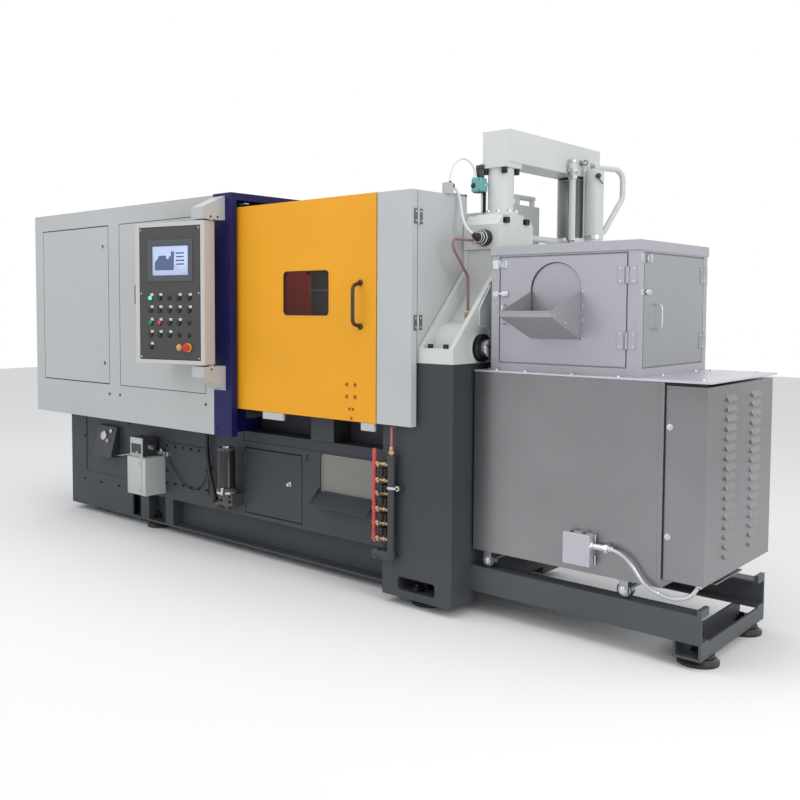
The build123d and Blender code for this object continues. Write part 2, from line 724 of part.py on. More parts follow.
with BuildPart() as cabinet_wrap:
    block(
        (CABINET_LEFT, CABINET_RIGHT), (CABINET_HALF_WIDTH - SKIN, CABINET_HALF_WIDTH),
        (BED_TOP, CABINET_TOP),
    )
    block(
        (CABINET_LEFT, CABINET_LEFT + SKIN), cabinet_inside, (BED_TOP + SKIN, CABINET_TOP - SKIN)
    )
write_piece(cabinet_wrap.part, "cabinet_wrap")

with BuildPart() as cabinet_front:
    block(
        (CABINET_LEFT, CABINET_RIGHT), (-CABINET_HALF_WIDTH, -CABINET_HALF_WIDTH + SKIN),
        (BED_TOP, CABINET_TOP),
    )
    for opening_left, opening_right in (
        (DOOR_1_LEFT - DOOR_GAP, DOOR_1_RIGHT + DOOR_GAP), (PANEL_2_LEFT, PANEL_2_RIGHT)
    ):
        block(
            (opening_left, opening_right),
            (-CABINET_HALF_WIDTH - 1, -CABINET_HALF_WIDTH + SKIN + 1),
            (DOOR_BOTTOM - DOOR_GAP, DOOR_TOP + DOOR_GAP), Mode.SUBTRACT,
        )
    knuckles(DOOR_1_LEFT - DOOR_GAP / 2, -CABINET_HALF_WIDTH, DOOR_HINGE_HEIGHTS, moving=False)
write_piece(cabinet_front.part, "cabinet_front")

with BuildPart() as cabinet_door:
    block(
        (DOOR_1_LEFT, DOOR_1_RIGHT),
        (-CABINET_HALF_WIDTH, -CABINET_HALF_WIDTH + LEAF_THICKNESS),
        (DOOR_BOTTOM, DOOR_TOP),
    )
    knuckles(DOOR_1_LEFT - DOOR_GAP / 2, -CABINET_HALF_WIDTH, DOOR_HINGE_HEIGHTS, moving=True)
write_piece(cabinet_door.part, "cabinet_door")

with BuildPart() as cabinet_panel:
    block(
        (PANEL_2_LEFT, PANEL_2_RIGHT), (-CABINET_HALF_WIDTH, -CABINET_HALF_WIDTH + SKIN),
        (DOOR_BOTTOM - DOOR_GAP, DOOR_TOP + DOOR_GAP),
    )
write_piece(cabinet_panel.part, "cabinet_panel")

# Arch: a band round the machine with a folded right edge, and a bulkhead behind it
with BuildPart() as arch_band:
    block(
        (CABINET_RIGHT, ARCH_RIGHT), (-CABINET_HALF_WIDTH, CABINET_HALF_WIDTH), (BED_TOP, ARCH_TOP)
    )
    block(
        (CABINET_RIGHT - 1, ARCH_RIGHT - SKIN), cabinet_inside,
        (BED_TOP - 1, ARCH_TOP - SKIN), Mode.SUBTRACT,
    )
    block(
        (ARCH_RIGHT - SKIN - 1, ARCH_RIGHT + 1),
        (-CABINET_HALF_WIDTH + ARCH_CORNER, CABINET_HALF_WIDTH - ARCH_CORNER),
        (BED_TOP - 1, ARCH_TOP - ARCH_CORNER), Mode.SUBTRACT,
    )
write_piece(arch_band.part, "arch_band")

with BuildPart() as arch_bulkhead:
    door_slot = -SLIDE_FRONT - RAIL_BEHIND - RAIL_DEPTH
    block(
        (CABINET_RIGHT, CABINET_RIGHT + ARCH_BULKHEAD), (-door_slot, CABINET_HALF_WIDTH - SKIN),
        (BED_TOP, ARCH_TOP - SKIN),
    )
    block(
        (CABINET_RIGHT - 1, CABINET_RIGHT + ARCH_BULKHEAD + 1),
        (-ARCH_WINDOW_HALF, ARCH_WINDOW_HALF),
        (BED_TOP + ARCH_WINDOW_SILL, ARCH_WINDOW_TOP), Mode.SUBTRACT,
    )
write_piece(arch_bulkhead.part, "arch_bulkhead")

# Sliding door and its rail
rail_top_z = SLIDE_TOP - RAIL_DROP + RAIL_HEIGHT
rail_front_y = SLIDE_FRONT + RAIL_BEHIND
with BuildPart() as sliding_door:
    block(
        (SLIDE_LEFT, SLIDE_RIGHT), (SLIDE_FRONT, SLIDE_FRONT + SLIDE_FOLD), (SLIDE_BOTTOM, SLIDE_TOP)
    )
    block(
        (SLIDE_LEFT + SKIN, SLIDE_RIGHT - SKIN), (SLIDE_FRONT + SKIN, SLIDE_FRONT + SLIDE_FOLD + 1),
        (SLIDE_BOTTOM + SKIN, SLIDE_TOP - SKIN), Mode.SUBTRACT,
    )
    with BuildSketch(Plane.XZ.offset(-SLIDE_FRONT)):
        with Locations(((WINDOW_LEFT + WINDOW_RIGHT) / 2, (WINDOW_BOTTOM + WINDOW_TOP) / 2)):
            RectangleRounded(WINDOW_RIGHT - WINDOW_LEFT, WINDOW_TOP - WINDOW_BOTTOM, WINDOW_CORNER)
        for peep_z, peep_left, peep_right, peep_radius in PEEP_ROWS:
            with Locations((peep_left, peep_z), (peep_right, peep_z)):
                Circle(peep_radius)
        with Locations((PEEP_LOW_X, PEEP_LOW_Z)):
            Circle(PEEP_ROWS[-1][-1])
    extrude(amount=-2 * SKIN, mode=Mode.SUBTRACT)
    for pad_x in GUIDE_PADS:
        block(
            pad_x, (SLIDE_FRONT + SKIN, SLIDE_FRONT + SKIN + GUIDE_THICKNESS),
            (SLIDE_BOTTOM - GUIDE_DROP, SLIDE_BOTTOM),
        )
    for hanger_x in (SLIDE_LEFT + HANGER_INSET, SLIDE_RIGHT - HANGER_INSET):
        block(
            (hanger_x - HANGER_HALF, hanger_x + HANGER_HALF),
            (SLIDE_FRONT + SKIN, rail_front_y + RAIL_DEPTH),
            (rail_top_z + SEAT_GAP, rail_top_z + HANGER_THICKNESS),
        )
write_piece(sliding_door.part, "sliding_door")

with BuildPart() as door_window:
    with BuildSketch(Plane.XZ.offset(-SLIDE_FRONT - SKIN)):
        with Locations(((WINDOW_LEFT + WINDOW_RIGHT) / 2, (WINDOW_BOTTOM + WINDOW_TOP) / 2)):
            RectangleRounded(
                WINDOW_RIGHT - WINDOW_LEFT + 2 * WINDOW_LAP, WINDOW_TOP - WINDOW_BOTTOM + 2 * WINDOW_LAP,
                WINDOW_CORNER,
            )
    extrude(amount=-WINDOW_THICKNESS)
write_piece(door_window.part, "door_window")

with BuildPart() as door_handle:
    with BuildLine() as grip_path:
        FilletPolyline(
            (HANDLE_X, SLIDE_FRONT, HANDLE_LOW),
            (HANDLE_X, SLIDE_FRONT - HANDLE_REACH, HANDLE_LOW + HANDLE_SLOPE),
            (HANDLE_X, SLIDE_FRONT - HANDLE_REACH, HANDLE_HIGH - HANDLE_SLOPE),
            (HANDLE_X, SLIDE_FRONT, HANDLE_HIGH),
            radius=HANDLE_BEND,
        )
    with BuildSketch(Plane(grip_path.line @ 0, z_dir=grip_path.line % 0)):
        RegularPolygon(HANDLE_RADIUS, HANDLE_SIDES)
    sweep()
    split(bisect_by=Plane.XZ.offset(-SLIDE_FRONT), keep=Keep.TOP)
write_piece(door_handle.part, "door_handle")

with BuildPart() as door_rail:
    block(
        (RAIL_LEFT, GUARD_RIGHT - SKIN), (rail_front_y, rail_front_y + RAIL_DEPTH),
        (rail_top_z - RAIL_HEIGHT, rail_top_z),
    )
write_piece(door_rail.part, "door_rail")

# Guard beside the sliding door: a hinged front door, a fixed side sheet and the rear guard
guard_left = SLIDE_RIGHT + DOOR_GAP
guard_hinge = (GUARD_RIGHT + GUARD_HINGE_OUT, -GUARD_SIDE_FRONT - GUARD_HINGE_OUT)
with BuildPart() as guard_door:
    block(
        (guard_left, GUARD_RIGHT), (SLIDE_FRONT, SLIDE_FRONT + GUARD_DOOR_DEPTH),
        (GUARD_BOTTOM, GUARD_TOP),
    )
    block(
        (guard_left + SKIN, GUARD_RIGHT - SKIN),
        (SLIDE_FRONT + SKIN, SLIDE_FRONT + GUARD_DOOR_DEPTH + 1),
        (GUARD_BOTTOM + SKIN, GUARD_TOP - SKIN), Mode.SUBTRACT,
    )
    knuckles(*guard_hinge, GUARD_HINGE_HEIGHTS, moving=True)
write_piece(guard_door.part, "guard_door")

with BuildPart() as guard_side:
    block(
        (GUARD_RIGHT - SKIN, GUARD_RIGHT), (-GUARD_SIDE_FRONT, -GUARD_SIDE_BACK),
        (PORTAL_TOP, GUARD_TOP),
    )
    with BuildSketch(Plane.YZ.offset(GUARD_RIGHT)):
        with Locations((-TIE_Y, TIE_LOW)):
            Circle(BOSS_RADIUS)
    extrude(amount=-2 * SKIN, mode=Mode.SUBTRACT)
    block(HOSE_CLAMP_X, HOSE_CLAMP_Y, (GUARD_TOP, HOSE_CLAMP_TOP))
    knuckles(*guard_hinge, GUARD_HINGE_HEIGHTS, moving=False)
write_piece(guard_side.part, "guard_side")

with BuildPart() as rear_guard:
    block(
        (ARCH_RIGHT, GUARD_RIGHT), (-SLIDE_FRONT - SKIN, -SLIDE_FRONT), (GUARD_BOTTOM, GUARD_TOP)
    )
    block(
        (GUARD_RIGHT - SKIN, GUARD_RIGHT), (GUARD_SIDE_BACK, -SLIDE_FRONT), (PORTAL_TOP, GUARD_TOP)
    )
    with BuildSketch(Plane.YZ.offset(GUARD_RIGHT)):
        with Locations((TIE_Y, TIE_LOW)):
            Circle(BOSS_RADIUS)
    extrude(amount=-2 * SKIN, mode=Mode.SUBTRACT)
    pipe_x = GUARD_RIGHT - REAR_PIPE_RADIUS
    barrel(
        "Y", (pipe_x, GUARD_TOP + REAR_PIPE_HEIGHT), (REAR_PIPE_FRONT, REAR_PIPE_BACK), REAR_PIPE_RADIUS
    )
    for leg_y in (REAR_PIPE_FRONT + REAR_PIPE_RADIUS, REAR_PIPE_BACK - REAR_PIPE_RADIUS):
        upright(pipe_x, leg_y, (GUARD_TOP, GUARD_TOP + REAR_PIPE_HEIGHT), REAR_PIPE_RADIUS)
write_piece(rear_guard.part, "rear_guard")

# Clamp unit: platens, tie bars and nuts
tie_axes = [(y, z) for y in (-TIE_Y, TIE_Y) for z in (TIE_LOW, TIE_HIGH)]
with BuildPart() as fixed_platen:
    block(
        (PLATEN_LEFT, PLATEN_RIGHT), (-PLATEN_HALF_WIDTH, PLATEN_HALF_WIDTH), (BED_TOP, PLATEN_TOP)
    )
    block(
        (PLATEN_RIGHT, RIB_LEFT), (-SPIGOT_HALF_WIDTH, SPIGOT_HALF_WIDTH), (BASE_TOP, HEAD_BOTTOM)
    )
    with BuildSketch(Plane.YZ.offset(PLATEN_LEFT)):
        with Locations(*tie_axes):
            Circle(TIE_RADIUS + PIN_CLEARANCE)
    extrude(amount=PLATEN_RIGHT - PLATEN_LEFT, mode=Mode.SUBTRACT)
write_piece(fixed_platen.part, "fixed_platen")

with BuildPart() as tie_bars:
    for tie_y, tie_z, tie_end in (
        (-TIE_Y, TIE_LOW, PORTAL_RIGHT + NUT_LENGTH + TIE_STUB),
        (TIE_Y, TIE_LOW, PORTAL_RIGHT + NUT_LENGTH + TIE_STUB),
        (-TIE_Y, TIE_HIGH, PLATEN_RIGHT), (TIE_Y, TIE_HIGH, PLATEN_RIGHT),
    ):
        with BuildSketch(Plane.YZ.offset(REAR_LEFT)):
            with Locations((tie_y, tie_z)):
                Circle(TIE_RADIUS)
        extrude(amount=tie_end - REAR_LEFT)
    with BuildSketch(Plane.YZ.offset(PORTAL_RIGHT)):
        with Locations((-TIE_Y, TIE_LOW), (TIE_Y, TIE_LOW)):
            Circle(NUT_RADIUS)
    extrude(amount=NUT_LENGTH)
write_piece(tie_bars.part, "tie_bars")

for node, left, right in (
    ("moving_platen", MOVING_LEFT, MOVING_RIGHT), ("rear_platen", REAR_LEFT, REAR_RIGHT)
):
    with BuildPart() as platen:
        block(
            (left, right), (-PLATEN_HALF_WIDTH + PLATEN_INSET, PLATEN_HALF_WIDTH - PLATEN_INSET),
            (BED_TOP + SKIN, PLATEN_TOP - PLATEN_INSET),
        )
        with BuildSketch(Plane.YZ.offset(left)):
            with Locations(*tie_axes):
                Circle(TIE_RADIUS + PIN_CLEARANCE)
        extrude(amount=right - left, mode=Mode.SUBTRACT)
    write_piece(platen.part, node)

# A-frame casting: base, two sloping ribs with a bent web between, tie-bar bosses and the head
with BuildPart() as platen_frame:
    block((RIB_LEFT, PORTAL_RIGHT), (-PORTAL_HALF_WIDTH, PORTAL_HALF_WIDTH), (PORTAL_TOP, BASE_TOP))
    for rib_x in (RIB_LEFT, PORTAL_RIGHT - RIB_THICKNESS):
        rib = outline(
            Plane.YZ.offset(rib_x), (-PORTAL_HALF_WIDTH, PORTAL_TOP), (PORTAL_HALF_WIDTH, PORTAL_TOP),
            (PORTAL_HALF_WIDTH, BASE_TOP), (RIB_SHOULDER, RIB_SHOULDER_LOW),
            (RIB_SHOULDER, HEAD_BOTTOM), (-RIB_SHOULDER, HEAD_BOTTOM),
            (-RIB_SHOULDER, RIB_SHOULDER_LOW), (-PORTAL_HALF_WIDTH, BASE_TOP),
        )
        extrude(rib, amount=RIB_THICKNESS)
    for side in (-1, 1):
        with BuildSketch(Plane.YZ.offset(RIB_LEFT + RIB_THICKNESS)):
            with BuildLine():
                outer = FilletPolyline(
                    (side * WEB_FOOT, BASE_TOP), (side * WEB_KNEE, WEB_KNEE_TOP),
                    (side * WEB_KNEE, HEAD_BOTTOM), radius=WEB_BEND,
                )
                inner = FilletPolyline(
                    (side * (WEB_KNEE - WEB_THICKNESS), HEAD_BOTTOM),
                    (side * (WEB_KNEE - WEB_THICKNESS), WEB_KNEE_TOP),
                    (side * (WEB_FOOT - WEB_THICKNESS), BASE_TOP), radius=WEB_BEND,
                )
                Line(outer @ 1, inner @ 0)
                Line(inner @ 1, outer @ 0)
            make_face()
        extrude(amount=PORTAL_RIGHT - RIB_LEFT - 2 * RIB_THICKNESS)
    for boss_y in (-TIE_Y, TIE_Y):
        barrel("X", (boss_y, TIE_LOW), (RIB_LEFT, PORTAL_RIGHT), BOSS_RADIUS)
        barrel("X", (boss_y, TIE_LOW), (PORTAL_RIGHT, PORTAL_RIGHT + COLLAR_LENGTH), COLLAR_RADIUS)
        barrel(
            "X", (boss_y, TIE_LOW), (PORTAL_RIGHT, PORTAL_RIGHT + COLLAR_LENGTH),
            NUT_RADIUS + SEAT_GAP, Mode.SUBTRACT,
        )
        barrel(
            "X", (boss_y, TIE_LOW), (RIB_LEFT, PORTAL_RIGHT), TIE_RADIUS + PIN_CLEARANCE, Mode.SUBTRACT
        )
    head = outline(
        Plane.YZ.offset(RIB_LEFT), (-RIB_SHOULDER, HEAD_BOTTOM), (RIB_SHOULDER, HEAD_BOTTOM),
        (RIB_SHOULDER, HEAD_SHOULDER), (HEAD_CROWN, HEAD_TOP), (-HEAD_CROWN, HEAD_TOP),
        (-RIB_SHOULDER, HEAD_SHOULDER),
    )
    extrude(head, amount=PORTAL_RIGHT - RIB_LEFT)
    for pocket_x in (
        (RIB_LEFT - 1, COLUMN_X - BOLT_SPREAD + BOLT_POCKET),
        (COLUMN_X + BOLT_SPREAD - BOLT_POCKET, PORTAL_RIGHT + 1),
    ):
        for bolt_y in (-BOLT_SPREAD, BOLT_SPREAD):
            block(
                pocket_x, (bolt_y - BOLT_POCKET, bolt_y + BOLT_POCKET),
                (HEAD_TOP - BOLT_POCKET_DEPTH, HEAD_TOP + 1), Mode.SUBTRACT,
            )
    coupling = (COUPLING_X, COUPLING_Z)
    coupling_y = -RIB_SHOULDER - COUPLING_LENGTH
    barrel("Y", coupling, (coupling_y, -RIB_SHOULDER), COUPLING_RADIUS)
    barrel("Y", coupling, (coupling_y - COUPLING_HUB_LENGTH, coupling_y), COUPLING_HUB_RADIUS)
    barrel("Y", (COPPER_X, COPPER_Z), (-RIB_SHOULDER - COPPER_LENGTH, -RIB_SHOULDER), COPPER_NUT_RADIUS)
    copper_foot_slope = (WEB_KNEE_TOP - BASE_TOP) / (WEB_FOOT - WEB_KNEE)
    copper_foot_z = BASE_TOP + (WEB_FOOT + COPPER_FOOT_Y - COPPER_NUT_RADIUS) * copper_foot_slope
    upright(COPPER_X, COPPER_FOOT_Y, (copper_foot_z, COPPER_FOOT_TOP), COPPER_NUT_RADIUS)
write_piece(platen_frame.part, "platen_frame")

write_tube(
    "copper_pipe", COPPER_DIAMETER,
    (
        (COPPER_X, -RIB_SHOULDER - COPPER_LENGTH, COPPER_Z), (COPPER_X, COPPER_OUT_Y, COPPER_Z),
        (COPPER_X, COPPER_OUT_Y, COPPER_KNEE_Z), (COPPER_X, COPPER_FOOT_Y, COPPER_SLANT_Z),
        (COPPER_X, COPPER_FOOT_Y, COPPER_FOOT_TOP),
    ),
    list(COPPER_BENDS),
)

grease_x = PORTAL_RIGHT + SEAT_GAP + GREASE_DIAMETER / 2
write_tube(
    "grease_pipe", GREASE_DIAMETER, tuple((grease_x, y, z) for y, z in GREASE_ROUTE), list(GREASE_BENDS)
)

# Column, flange, beam and accumulator
with BuildPart() as shot_column:
    upright(COLUMN_X, COLUMN_Y, (HEAD_TOP, BEAM_BOTTOM - FLANGE_THICKNESS), COLUMN_RADIUS)
    upright(COLUMN_X, COLUMN_Y, (HEAD_TOP, HEAD_TOP + FOOT_RING_HEIGHT), FOOT_RING_RADIUS)
    block(SCALE_X, SCALE_Y, (HEAD_TOP, SCALE_TOP))
    block(
        (COLUMN_X - FLANGE_HALF, COLUMN_X + FLANGE_HALF),
        (COLUMN_Y - FLANGE_HALF, COLUMN_Y + FLANGE_HALF),
        (BEAM_BOTTOM - FLANGE_THICKNESS, BEAM_BOTTOM),
    )
write_piece(shot_column.part, "shot_column")

with BuildPart() as top_beam:
    block(
        (COLUMN_X - BEAM_HALF, COLUMN_X + BEAM_HALF), (BEAM_FRONT, BEAM_BACK),
        (BEAM_BOTTOM, BEAM_TOP),
    )
write_piece(top_beam.part, "top_beam")

drop_pipe_reach = BOTTLE_Y - BOTTLE_RADIUS / 2
with BuildPart() as accumulator:
    upright(COLUMN_X, TANK_Y, (TANK_BOTTOM, BEAM_BOTTOM), TANK_RADIUS)
    barrel("Y", (COLUMN_X, DROP_PIPE_FOOT), (RIB_SHOULDER, TANK_Y), DROP_PIPE_RADIUS)
    upright(BOTTLE_X, BOTTLE_Y, (TANK_BOTTOM, BOTTLE_TOP), BOTTLE_RADIUS)
    upright(BOTTLE_X, BOTTLE_Y, (BOTTLE_TOP, BOTTLE_NECK_TOP), BOTTLE_NECK_RADIUS)
    block((COLUMN_X, BOTTLE_X), (BOTTLE_Y, TANK_Y), BOTTLE_CLAMP_Z)
    upright(DROP_PIPE_X, DROP_PIPE_Y, (DROP_PIPE_FOOT, DROP_PIPE_TOP), DROP_PIPE_RADIUS)
    barrel("Y", (DROP_PIPE_X, DROP_PIPE_FOOT), (DROP_PIPE_Y, drop_pipe_reach), DROP_PIPE_RADIUS)
    barrel(
        "X", (DROP_PIPE_Y, DROP_PIPE_TOP), (COLUMN_X + BEAM_HALF, DROP_PIPE_X), PIPE_ELBOW_RADIUS
    )
    upright(
        DROP_PIPE_X, DROP_PIPE_Y, (DROP_PIPE_TOP - PIPE_ELBOW_RADIUS, DROP_PIPE_TOP + PIPE_ELBOW_RADIUS),
        PIPE_ELBOW_RADIUS,
    )
    with BuildLine() as oil_path:
        FilletPolyline(*OIL_PIPE_ROUTE, radius=OIL_PIPE_BEND)
    with BuildSketch(Plane(oil_path.line @ 0, z_dir=oil_path.line % 0)):
        RegularPolygon(OIL_PIPE_DIAMETER / 2, HANDLE_SIDES)
    sweep()
write_piece(accumulator.part, "accumulator")

with BuildPart() as limit_switch:
    block(SWITCH_X, SWITCH_Y, SWITCH_Z)
    flange_front = COLUMN_Y - FLANGE_HALF
    block(
        SWITCH_PLATE_X, (flange_front - SWITCH_PLATE_THICKNESS, flange_front),
        (SWITCH_Z[1], SWITCH_PLATE_TOP),
    )
    upright(SWITCH_GLAND_X, SWITCH_GLAND_Y, (SWITCH_Z[1], SWITCH_GLAND_TOP), SWITCH_GLAND_RADIUS)
write_piece(limit_switch.part, "limit_switch")

# Control panel on two arms
arm_x = (ARM_LEFT, ARM_RIGHT)
with BuildPart() as panel_arms:
    with BuildSketch(Plane.YZ.offset(ARM_LEFT)):
        with BuildLine():
            Polyline(
                (-CABINET_HALF_WIDTH, ARM_LOW_BOTTOM), (-CABINET_HALF_WIDTH, ARM_LOW_TOP),
                (ARM_FRONT, ARM_LOW_TOP), (ARM_FRONT, ARM_LOW_TOP - ARM_NOSE_LOW), close=True,
            )
        make_face()
        with BuildLine():
            Polyline(
                (-CABINET_HALF_WIDTH, ARM_HIGH_BOTTOM), (-CABINET_HALF_WIDTH, ARM_HIGH_TOP),
                (ARM_FRONT, ARM_HIGH_TOP - ARM_NOSE_HIGH), (ARM_FRONT, ARM_HIGH_BOTTOM), close=True,
            )
        make_face()
    extrude(amount=ARM_RIGHT - ARM_LEFT)
    upright(PIVOT_X, PIVOT_Y, (ARM_LOW_TOP, PANEL_BOTTOM - SEAT_GAP), PIVOT_RADIUS)
    upright(PIVOT_X, PIVOT_Y, (PANEL_TOP + SEAT_GAP, ARM_HIGH_BOTTOM), PIVOT_RADIUS)
write_piece(panel_arms.part, "panel_arms")

turn = radians(PANEL_TURN)
panel_plane = Plane(
    origin=(PIVOT_X, PIVOT_Y, PANEL_BOTTOM), x_dir=(cos(turn), sin(turn), 0), z_dir=(0, 0, 1)
)
panel_face = Plane(
    origin=(PIVOT_X + PIVOT_FROM_FACE * sin(turn), PIVOT_Y - PIVOT_FROM_FACE * cos(turn), 0),
    x_dir=(cos(turn), sin(turn), 0), z_dir=(sin(turn), -cos(turn), 0),
)
with BuildPart() as panel_box:
    with BuildSketch(panel_plane):
        with Locations(
            (PIVOT_FROM_RIGHT - PANEL_WIDTH / 2, PANEL_DEPTH / 2 - PIVOT_FROM_FACE)
        ):
            Rectangle(PANEL_WIDTH, PANEL_DEPTH)
    extrude(amount=PANEL_TOP - PANEL_BOTTOM)
    fillet(panel_box.edges().filter_by(Axis.Z), PANEL_CORNER)
    with BuildSketch(panel_face):
        with Locations(((FACE_LEFT + FACE_RIGHT) / 2, (FACE_BOTTOM + FACE_TOP) / 2)):
            Rectangle(FACE_RIGHT - FACE_LEFT, FACE_TOP - FACE_BOTTOM)
    extrude(amount=-FACE_RECESS, mode=Mode.SUBTRACT)
write_piece(panel_box.part, "panel_box")

# Screen in its bezel, push buttons and lamps in rows, key switch and stop button
face_floor = panel_face.offset(-FACE_RECESS)
with BuildPart() as panel_controls:
    with BuildSketch(face_floor):
        with Locations((sum(BEZEL_X) / 2, sum(BEZEL_Z) / 2)):
            Rectangle(BEZEL_X[1] - BEZEL_X[0], BEZEL_Z[1] - BEZEL_Z[0])
    extrude(amount=BEZEL_THICKNESS)
    with BuildSketch(face_floor.offset(BEZEL_THICKNESS)):
        with Locations((sum(SCREEN_X) / 2, sum(SCREEN_Z) / 2)):
            Rectangle(SCREEN_X[1] - SCREEN_X[0], SCREEN_Z[1] - SCREEN_Z[0])
    extrude(amount=-SCREEN_RECESS, mode=Mode.SUBTRACT)
    with BuildSketch(face_floor):
        with Locations(*[(x, z) for x in BUTTON_COLUMNS for z in BUTTON_ROWS]):
            RegularPolygon(BUTTON_RADIUS, BUTTON_SIDES)
    extrude(amount=BUTTON_LENGTH)
    for button_x, button_radius, button_length in LOW_BUTTONS:
        with BuildSketch(face_floor):
            with Locations((button_x, LOW_ROW_Z)):
                RegularPolygon(button_radius, BUTTON_SIDES)
        extrude(amount=button_length)
write_piece(panel_controls.part, "panel_controls")

# Lubrication unit, gauge box and oil filter on the front of the bed
with BuildPart() as lubrication_unit:
    block(BOX_X, (BOX_FRONT, -BED_HALF_WIDTH), BOX_Z)
    block(LUBRICATOR_X, LUBRICATOR_Y, (BOX_Z[1], LUBRICATOR_TOP))
    knob_y = (LUBRICATOR_Y[0] + LUBRICATOR_Y[1]) / 2
    barrel(
        "X", (knob_y, (BOX_Z[1] + LUBRICATOR_TOP) / 2),
        (LUBRICATOR_X[1], LUBRICATOR_X[1] + KNOB_LENGTH), KNOB_RADIUS,
    )
    barrel("X", (OUTLET_Y, OUTLET_Z), (LUBRICATOR_X[1] - KNOB_LENGTH, OUTLET_BLOCK_X[0]), OUTLET_RADIUS)
    block(
        OUTLET_BLOCK_X, (OUTLET_Y - OUTLET_HALF, OUTLET_Y + OUTLET_HALF),
        (OUTLET_Z - OUTLET_HALF, OUTLET_Z + OUTLET_HALF),
    )
    gauge_back = -BED_HALF_WIDTH + WALL_RECESS
    gauge = outline(
        Plane.YZ.offset(GAUGE_X[0]), (gauge_back, GAUGE_BOTTOM), (gauge_back, GAUGE_TOP),
        (-BED_HALF_WIDTH - GAUGE_CROWN, GAUGE_TOP),
        (-BED_HALF_WIDTH - GAUGE_REACH, GAUGE_BOTTOM + GAUGE_LIP),
        (-BED_HALF_WIDTH - GAUGE_REACH, GAUGE_BOTTOM),
    )
    extrude(gauge, amount=GAUGE_X[1] - GAUGE_X[0])
write_piece(lubrication_unit.part, "lubrication_unit")

filter_base = FILTER_BOTTOM - FILTER_CLAMP_HEIGHT
with BuildPart() as oil_filter:
    upright(FILTER_X, FILTER_Y, (FILTER_BOTTOM, FILTER_TOP), FILTER_RADIUS)
    upright(FILTER_X, FILTER_Y, (filter_base, FILTER_BOTTOM), FILTER_CLAMP_RADIUS)
    block(FILTER_BRACKET_X, (FILTER_Y, -BED_HALF_WIDTH), (FILTER_BRACKET_BOTTOM, filter_base))
    elbow_z = BED_ELBOW_BOTTOM + BED_ELBOW_RADIUS
    upright(
        BED_CONDUIT_END_X, BED_CONDUIT_Y, (BED_ELBOW_BOTTOM, BED_CONDUIT_END_Z), BED_ELBOW_RADIUS
    )
    barrel(
        "X", (BED_CONDUIT_Y, elbow_z), (BED_CONDUIT_END_X, FILTER_BRACKET_X[0] + BED_ELBOW_RADIUS),
        BED_ELBOW_RADIUS,
    )
    upright(
        FILTER_BRACKET_X[0] + BED_ELBOW_RADIUS, BED_CONDUIT_Y, (BED_ELBOW_BOTTOM, FILTER_BRACKET_BOTTOM),
        BED_ELBOW_RADIUS,
    )
    block(BED_CABLE_CLIP_X, (BED_CABLE_CLIP_Y, -BED_HALF_WIDTH), BED_CABLE_CLIP_Z)
write_piece(oil_filter.part, "oil_filter")

# Water manifold: supply pipe, header, six valves with their regulators, and the clamp
with BuildPart() as water_manifold:
    upright(SUPPLY_X, MANIFOLD_Y, (SUPPLY_BOTTOM, SUPPLY_TOP), SUPPLY_RADIUS)
    upright(
        SUPPLY_X, MANIFOLD_Y, (SUPPLY_TOP - SUPPLY_CAP_HEIGHT, SUPPLY_TOP + SUPPLY_CAP_HEIGHT / 2),
        SUPPLY_CAP_RADIUS,
    )
    upright(
        SUPPLY_X, MANIFOLD_Y, (SUPPLY_BOTTOM - SUPPLY_CAP_RADIUS, SUPPLY_BOTTOM + SUPPLY_CAP_RADIUS),
        SUPPLY_CAP_RADIUS,
    )
    barrel("X", (MANIFOLD_Y, SUPPLY_BOTTOM), (SUPPLY_INLET_X, SUPPLY_X), SUPPLY_CAP_RADIUS)
    upright(SUPPLY_X, MANIFOLD_Y, (SUPPLY_TOP, NIPPLE_TOP), NIPPLE_RADIUS)
    upright(SUPPLY_X, MANIFOLD_Y, (NIPPLE_TOP, TUBE_TOP), TUBE_RADIUS)
    barrel("Y", (SUPPLY_X, TUBE_TOP - TUBE_RADIUS), (MANIFOLD_Y, -PORTAL_HALF_WIDTH), TUBE_RADIUS)
    upright(HEADER_X, MANIFOLD_Y, HEADER_Z, HEADER_RADIUS)
    for valve_z in VALVE_HEIGHTS:
        barrel("X", (MANIFOLD_Y, valve_z), (HEADER_X, SUPPLY_X), VALVE_RADIUS)
        barrel("Y", (VALVE_X, valve_z), (MANIFOLD_Y - VALVE_REACH, MANIFOLD_Y), VALVE_RADIUS)
    for valve_z in VALVE_HEIGHTS[:-1]:
        block(
            REGULATOR_X, (MANIFOLD_Y - SUPPLY_RADIUS, MANIFOLD_Y + SUPPLY_RADIUS),
            (valve_z - REGULATOR_DROP, valve_z),
        )
    block(CLAMP_X, (MANIFOLD_Y, -PORTAL_HALF_WIDTH), CLAMP_Z)
write_piece(water_manifold.part, "water_manifold")

